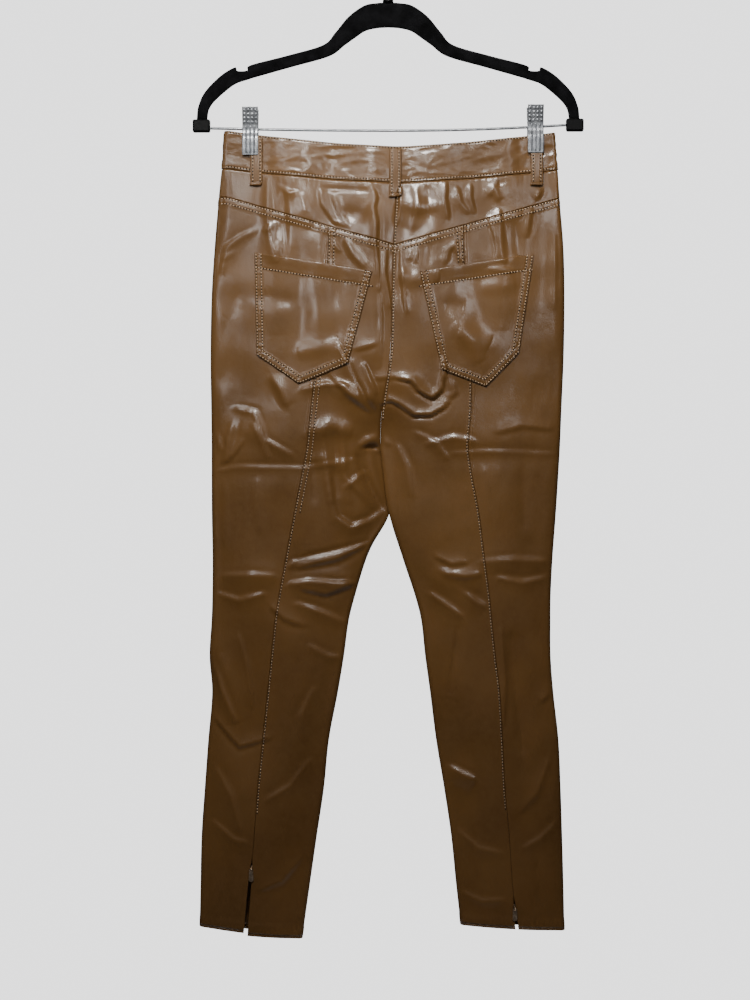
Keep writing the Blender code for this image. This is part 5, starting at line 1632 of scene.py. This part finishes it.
def plastic_material():
    """Moulded black plastic with a faint texture."""
    made, tree, shader = start_material("black_plastic", 0.42)
    shader.inputs["Specular IOR Level"].default_value = 0.08
    fuzz = noise(tree, object_coords(tree), 1400.0, 3.0)
    tree.links.new(spread(tree, fuzz.outputs["Fac"], 0.3, 0.7, 0.36, 0.50), shader.inputs["Roughness"])
    color = color_mix(tree, fuzz.outputs["Fac"], (0.0015, 0.0015, 0.0015), (0.0040, 0.0040, 0.0045))
    tree.links.new(color, shader.inputs["Base Color"])
    bump(tree, shader, fuzz.outputs["Fac"], 0.25, 0.0001)
    return made


def velvet_material():
    """Flocked velvet: a dense black nap that catches light only at grazing angles."""
    made, tree, shader = start_material("black_velvet", 0.95)
    shader.inputs["Sheen Weight"].default_value = 0.22
    shader.inputs["Sheen Roughness"].default_value = 0.35
    shader.inputs["Sheen Tint"].default_value = (0.5, 0.5, 0.55, 1.0)
    shader.inputs["Specular IOR Level"].default_value = 0.08
    nap = noise(tree, object_coords(tree), 2600.0, 4.0)
    brushed = noise(tree, object_coords(tree), 60.0, 3.0)
    shade = math_node(tree, "MULTIPLY", nap.outputs["Fac"], brushed.outputs["Fac"])
    depth = spread(tree, shade, 0.10, 0.45)
    color = color_mix(tree, depth, (0.0010, 0.0010, 0.0011), (0.0075, 0.0075, 0.0085))
    tree.links.new(color, shader.inputs["Base Color"])
    bump(tree, shader, nap.outputs["Fac"], 0.8, 0.0003)
    return made


TAPE_MATERIAL = tape_material()
ZIP_METAL = metal_material("dark_zip_metal", (0.50, 0.37, 0.26), (0.85, 0.68, 0.52), 0.25, 0.45)
BUTTON_METAL = metal_material("antique_button_metal", (0.12, 0.085, 0.050), (0.42, 0.33, 0.22), 0.22, 0.42)
STEEL = metal_material("plated_steel", (0.20, 0.21, 0.225), (0.34, 0.355, 0.375), 0.26, 0.40, 0.55)
PLASTIC = plastic_material()
VELVET = velvet_material()


def refinish(finish, *names):
    """Give carried-over pieces a finish, by their material slots."""
    for name in names:
        for slot in nodes[name].material_slots:
            slot.material = finish
        if not nodes[name].material_slots:
            nodes[name].data.materials.append(finish)


refinish(ZIP_METAL, *(piece + side for piece in ("zip_slider_", "zip_pull_") for side in ("left", "right")))
print("Materials now:", len(bpy.data.materials))

# %% [markdown]
# Each tape is a strip that follows the inside of its panel, so it bends with the ankle. The teeth
# run only where the seam lies open, below the slider. One real tooth is a bent loop of nylon wire,
# but it is about a millimetre across, so a small rounded bead does for each.

# %% Tapes and teeth
TAPE_WIDTH = 0.011
TAPE_GAP = 0.0003
TAPE_COLUMNS = 9
TOOTH = (0.0007, 0.0012, 0.0006)
TOOTH_PITCH = 0.0012


def make_tape(side, part):
    """One zip tape behind a panel's edge."""
    way = -1.0 if part == "inner" else 1.0
    hem = float(hem_height(side, seam_x(side, np.array(BOTTOM))))
    z = np.linspace(SLIT_TOP[side], hem + 0.012, 70)[:, None] + np.zeros((1, TAPE_COLUMNS))
    seam = run_at(side, seam_x(side, z), z)
    share = np.linspace(0.0, 1.0, TAPE_COLUMNS)[None, :]
    run = seam + way * (np.maximum(slit_gap(side, z), TAPE_GAP) / 2 + TAPE_WIDTH * share)
    middle = cloth(side, "back", run, z)
    outer = middle - normals_of(middle, "back") * (WALL / 2 + TAPE_GAP)
    name = "zip_tape_" + part + "_" + side
    smooth = smooth_skin(side, "back", run, z)[0]
    add_cloth(name, name, "back", outer, smooth, TAPE_WALL, TAPE_MATERIAL, 3)
    return outer[:, 0]


def make_teeth(side, edges):
    """Small teeth along the open part of both tapes."""
    shape = bmesh.new()
    slider = nodes["zip_slider_" + side]
    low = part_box(slider.name)[0].z
    for way, edge in zip((-1.0, 1.0), edges):
        for z in np.arange(edge[-1, 2] + 0.001, low - 0.001, TOOTH_PITCH):
            x = np.interp(-z, -edge[:, 2], edge[:, 0])
            y = np.interp(-z, -edge[:, 2], edge[:, 1])
            inward = SIDE_SIGN[side] * -way
            place = Matrix.Translation((x + inward * TOOTH[0] * 0.2, y + TOOTH[1] / 2, z))
            size = Matrix.Diagonal((*TOOTH, 1.0))
            bmesh.ops.create_icosphere(shape, subdivisions=1, radius=0.62, matrix=place @ size)
    mesh = bpy.data.meshes.new("zip_teeth_" + side)
    shape.to_mesh(mesh)
    shape.free()
    mesh.shade_smooth()
    add_piece("zip_teeth_" + side, mesh, PLASTIC)


for side in ("left", "right"):
    make_teeth(side, [make_tape(side, part) for part in ("inner", "outer")])
print("Zip tapes are", round(TAPE_WIDTH * 1000), "mm wide")

# %% [markdown]
# ## Hanger
# The hanger is a slim moulded arch flocked with velvet, with a notch for straps on each arm. It
# could be bevelled from a curve, but its depth changes along the arm, so it is lofted: a rounded
# section is carried along a table of outer and inner edges, and smooth curves join the rows.

# %% Hanger arch
HANGER_SHIFT = -0.0016
HANGER_THICKNESS = 0.0056
ARM = np.array((
    (0.0000, -0.0720, 0.0000, -0.1004), (0.0130, -0.0725, 0.0130, -0.1013),
    (0.0275, -0.0755, 0.0262, -0.1046), (0.0450, -0.0880, 0.0380, -0.1125),
    (0.0600, -0.1060, 0.0490, -0.1203), (0.0740, -0.1202, 0.0670, -0.1330),
    (0.1140, -0.1320, 0.1100, -0.1453), (0.1560, -0.1430, 0.1520, -0.1572),
    (0.1600, -0.1490, 0.1570, -0.1588), (0.1710, -0.1495, 0.1680, -0.1622),
    (0.1740, -0.1455, 0.1715, -0.1636), (0.1900, -0.1550, 0.1800, -0.1690),
    (0.2080, -0.1735, 0.1960, -0.1830), (0.2155, -0.1900, 0.2030, -0.1930),
    (0.2172, -0.2032, 0.2050, -0.2032),
))
CAP_TOPS = (-0.2052, -0.2041)
ARM_STEPS = 10
SECTION_CORNERS = 28


def curve_through(rows, steps):
    """Points on a smooth curve through the rows of a table."""
    slopes = np.empty_like(rows)
    slopes[1:-1] = (rows[2:] - rows[:-2]) / 2
    slopes[0], slopes[-1] = rows[1] - rows[0], rows[-1] - rows[-2]
    points = [rows[0]]
    for start, end, lean, next_lean in zip(rows[:-1], rows[1:], slopes[:-1], slopes[1:]):
        for step in range(1, steps + 1):
            t = step / steps
            points.append((2 * t ** 3 - 3 * t ** 2 + 1) * start + (t ** 3 - 2 * t ** 2 + t) * lean
                          + (3 * t ** 2 - 2 * t ** 3) * end + (t ** 3 - t ** 2) * next_lean)
    return np.array(points)


def make_arch():
    """The velvet arch, a rounded bar lofted along both arms."""
    arm = curve_through(ARM, ARM_STEPS)
    whole = np.concatenate((arm[:0:-1] * (-1, 1, -1, 1), arm))
    whole[0, 1::2], whole[-1, 1::2] = CAP_TOPS
    turns = np.linspace(0.0, 2 * math.pi, SECTION_CORNERS, endpoint=False)
    wide = np.sign(np.cos(turns)) * np.abs(np.cos(turns)) ** 0.45
    thick = np.sign(np.sin(turns)) * np.abs(np.sin(turns)) ** 0.75
    shape = bmesh.new()
    rings = []
    for top_x, top_z, under_x, under_z in whole:
        middle = Vector(((top_x + under_x) / 2 + HANGER_SHIFT, 0.0, (top_z + under_z) / 2))
        half = Vector(((top_x - under_x) / 2, 0.0, (top_z - under_z) / 2))
        ring = []
        for up, aside in zip(wide, thick):
            off = Vector((0.0, HANGER_THICKNESS / 2 * aside, 0.0))
            ring.append(shape.verts.new(middle + half * up + off))
        rings.append(ring)
    for ring, after in zip(rings, rings[1:]):
        for spot in range(SECTION_CORNERS):
            follow = (spot + 1) % SECTION_CORNERS
            shape.faces.new((ring[spot], ring[follow], after[follow], after[spot]))
    shape.faces.new(rings[0])
    shape.faces.new(rings[-1])
    bmesh.ops.recalc_face_normals(shape, faces=shape.faces)
    mesh = bpy.data.meshes.new("velvet_arch")
    shape.to_mesh(mesh)
    shape.free()
    mesh.shade_smooth()
    return add_piece("velvet_arch", mesh, VELVET, ("hanger_body",))


def make_rod(name, points, radius, finish, replaced):
    """A round rod along points, as a smooth tube."""
    curve = bpy.data.curves.new(name, "CURVE")
    curve.dimensions = "3D"
    curve.bevel_depth = radius
    curve.bevel_resolution = 5
    curve.use_fill_caps = True
    line = curve.splines.new("POLY")
    line.points.add(len(points) - 1)
    for spot, point in zip(line.points, points):
        spot.co = (*point, 1.0)
    return add_piece(name, curve, finish, replaced)


BAR_ENDS = ((-0.2031, -0.2146), (0.2000, -0.2109))
BAR_MIDDLE = (0.0045, -0.2173)
BAR_RADIUS = 0.0015


def bar_height(x):
    """Height of the bar's middle at x: it sags a little between the caps."""
    end = BAR_ENDS[0] if x < BAR_MIDDLE[0] else BAR_ENDS[1]
    share = (x - BAR_MIDDLE[0]) / (end[0] - BAR_MIDDLE[0])
    return BAR_MIDDLE[1] + (end[1] - BAR_MIDDLE[1]) * share ** 2


make_arch()
bar_line = [(x, 0.0, bar_height(x)) for x in np.linspace(BAR_ENDS[0][0], BAR_ENDS[1][0], 60)]
make_rod("steel_bar", bar_line, BAR_RADIUS, STEEL, ("hanger_bar",))
refinish(PLASTIC, "hanger_cap_left", "hanger_cap_right", "hanger_collar")
nodes["hanger_collar"].data.materials[0] = PLASTIC
refinish(STEEL, "hook")
print("Arch is", round(float(ARM[:, 0].max() * 2000)), "mm wide")

# %% [markdown]
# ## Clips
# A spring clip is two bent steel plates on the bar, pushed together at the jaws by a coil. The
# thumb part is stamped with rows of dimples, and the jaw with ribs that stop it twisting. The
# stamping is modelled as height on a fine grid, so its edges catch the light.

# %% Clips
CLIP_WIDTH = 0.0180
CLIP_WALL = 0.0010
JAWS = {
    "back": ((0.0108, 0.0235), (0.0066, 0.0105), (0.0045, 0.0020), (0.0045, -0.0040),
             (0.0069, -0.0110), (0.0069, -0.0220), (0.0066, -0.0300)),
    "front": ((0.0108, 0.0235), (0.0066, 0.0105), (0.0045, 0.0020), (0.0045, -0.0040),
              (0.0050, -0.0130), (0.0040, -0.0240), (0.0037, -0.0300)),
}
DIMPLE_PITCH = 0.0044
RIB_COUNT = 4
COIL_TURNS = 6.5
COIL_STEPS = 24
COIL_HALF_LENGTH = 0.0045
COIL_RADIUS = 0.0025
COIL_WIRE = 0.00055


def make_jaw(side, face):
    """One stamped plate of a clip."""
    x, height = CLIP_PLACES[side], bar_height(CLIP_PLACES[side])
    profile = curve_through(np.array(JAWS[face]), 20)
    across = np.linspace(-0.5, 0.5, 57)[None, :]
    out, up = profile[:, :1] + 0 * across, profile[:, 1:] + 0 * across
    place = across * CLIP_WIDTH + 0 * up
    slope = np.gradient(profile, axis=0)
    slope /= np.linalg.norm(slope, axis=1, keepdims=True)
    row, column = up / DIMPLE_PITCH, place / DIMPLE_PITCH
    dimple = np.maximum(0.0, -np.cos(2 * math.pi * column) * 0.5 - np.cos(2 * math.pi * row) * 0.5)
    upper = smooth_step(0.0030, 0.0045, up) * (1.0 - smooth_step(0.0215, 0.0228, up))
    ribs = np.maximum(0.0, np.cos(2 * math.pi * place * RIB_COUNT / CLIP_WIDTH)) ** 2
    lower = smooth_step(-0.0030, -0.0010, -up) * (1.0 - smooth_step(0.0265, 0.0285, -up))
    inside = 1.0 - smooth_step(0.43, 0.48, np.abs(across))
    raised = (0.0011 * dimple * upper + 0.0012 * ribs * lower) * inside
    rim = 0.0004 * smooth_step(0.44, 0.50, np.abs(across))
    stand = out + (CLIP_WALL / 2 + raised - rim) * np.abs(slope[:, 1:])
    grid = np.stack((x + place, FACE_SIGN[face] * stand, height + up), axis=-1)
    name = "clip_plate_" + face + "_" + side
    mesh = grid_mesh(name, grid)
    if mesh.polygons[0].normal.y * FACE_SIGN[face] < 0:
        mesh.flip_normals()
    piece = add_piece(name, mesh, STEEL, ("clip_jaw_" + face + "_" + side,))
    wall = piece.modifiers.new("wall", "SOLIDIFY")
    wall.thickness = CLIP_WALL
    wall.offset = -1.0


def make_coil(side):
    """The spring: a close coil round the bar."""
    x, height = CLIP_PLACES[side], bar_height(CLIP_PLACES[side])
    points = []
    for step in range(int(COIL_TURNS * COIL_STEPS) + 1):
        turn = 2 * math.pi * step / COIL_STEPS
        along = 2 * COIL_HALF_LENGTH * step / (COIL_TURNS * COIL_STEPS)
        points.append((x - COIL_HALF_LENGTH + along, COIL_RADIUS * math.cos(turn),
                       height + COIL_RADIUS * math.sin(turn)))
    make_rod("clip_coil_" + side, points, COIL_WIRE, STEEL, ("clip_spring_" + side,))


for side in CLIP_PLACES:
    make_coil(side)
    for face in JAWS:
        make_jaw(side, face)
print("Bar height at the clips:", [round(bar_height(x), 4) for x in CLIP_PLACES.values()])

# %% [markdown]
# ## Button
# The front closes with a cast metal button. A turned profile gives its raised rim and its slightly
# domed middle. It is plain, with nothing stamped on it.

# %% Button
BUTTON_PROFILE = ((0.0, 0.0026), (0.0030, 0.0025), (0.0052, 0.0021), (0.0058, 0.0020), (0.0063, 0.0026),
                  (0.0072, 0.0028), (0.0079, 0.0024), (0.0080, 0.0016), (0.0074, 0.0010), (0.0035, 0.0008),
                  (0.0035, 0.0), (0.0, 0.0))


def make_button():
    """A turned button standing off the waistband."""
    low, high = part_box("button")
    middle = (low + high) / 2
    shape = bmesh.new()
    points = [shape.verts.new((radius, 0.0, height)) for radius, height in BUTTON_PROFILE]
    edges = [shape.edges.new(pair) for pair in zip(points, points[1:])]
    bmesh.ops.spin(shape, geom=points + edges, cent=(0, 0, 0), axis=(0, 0, 1), angle=2 * math.pi,
                   steps=64, use_merge=True)
    bmesh.ops.remove_doubles(shape, verts=shape.verts, dist=1e-6)
    bmesh.ops.recalc_face_normals(shape, faces=shape.faces)
    turn = Matrix.Rotation(-math.pi / 2, 4, "X")
    place = Matrix.Translation((middle.x, low.y, middle.z)) @ turn
    bmesh.ops.transform(shape, matrix=place, verts=shape.verts)
    mesh = bpy.data.meshes.new("cast_button")
    shape.to_mesh(mesh)
    shape.free()
    mesh.shade_smooth()
    add_piece("cast_button", mesh, BUTTON_METAL, ("button",))


make_button()
print("Button is", round(BUTTON_PROFILE[7][0] * 2000, 1), "mm across")
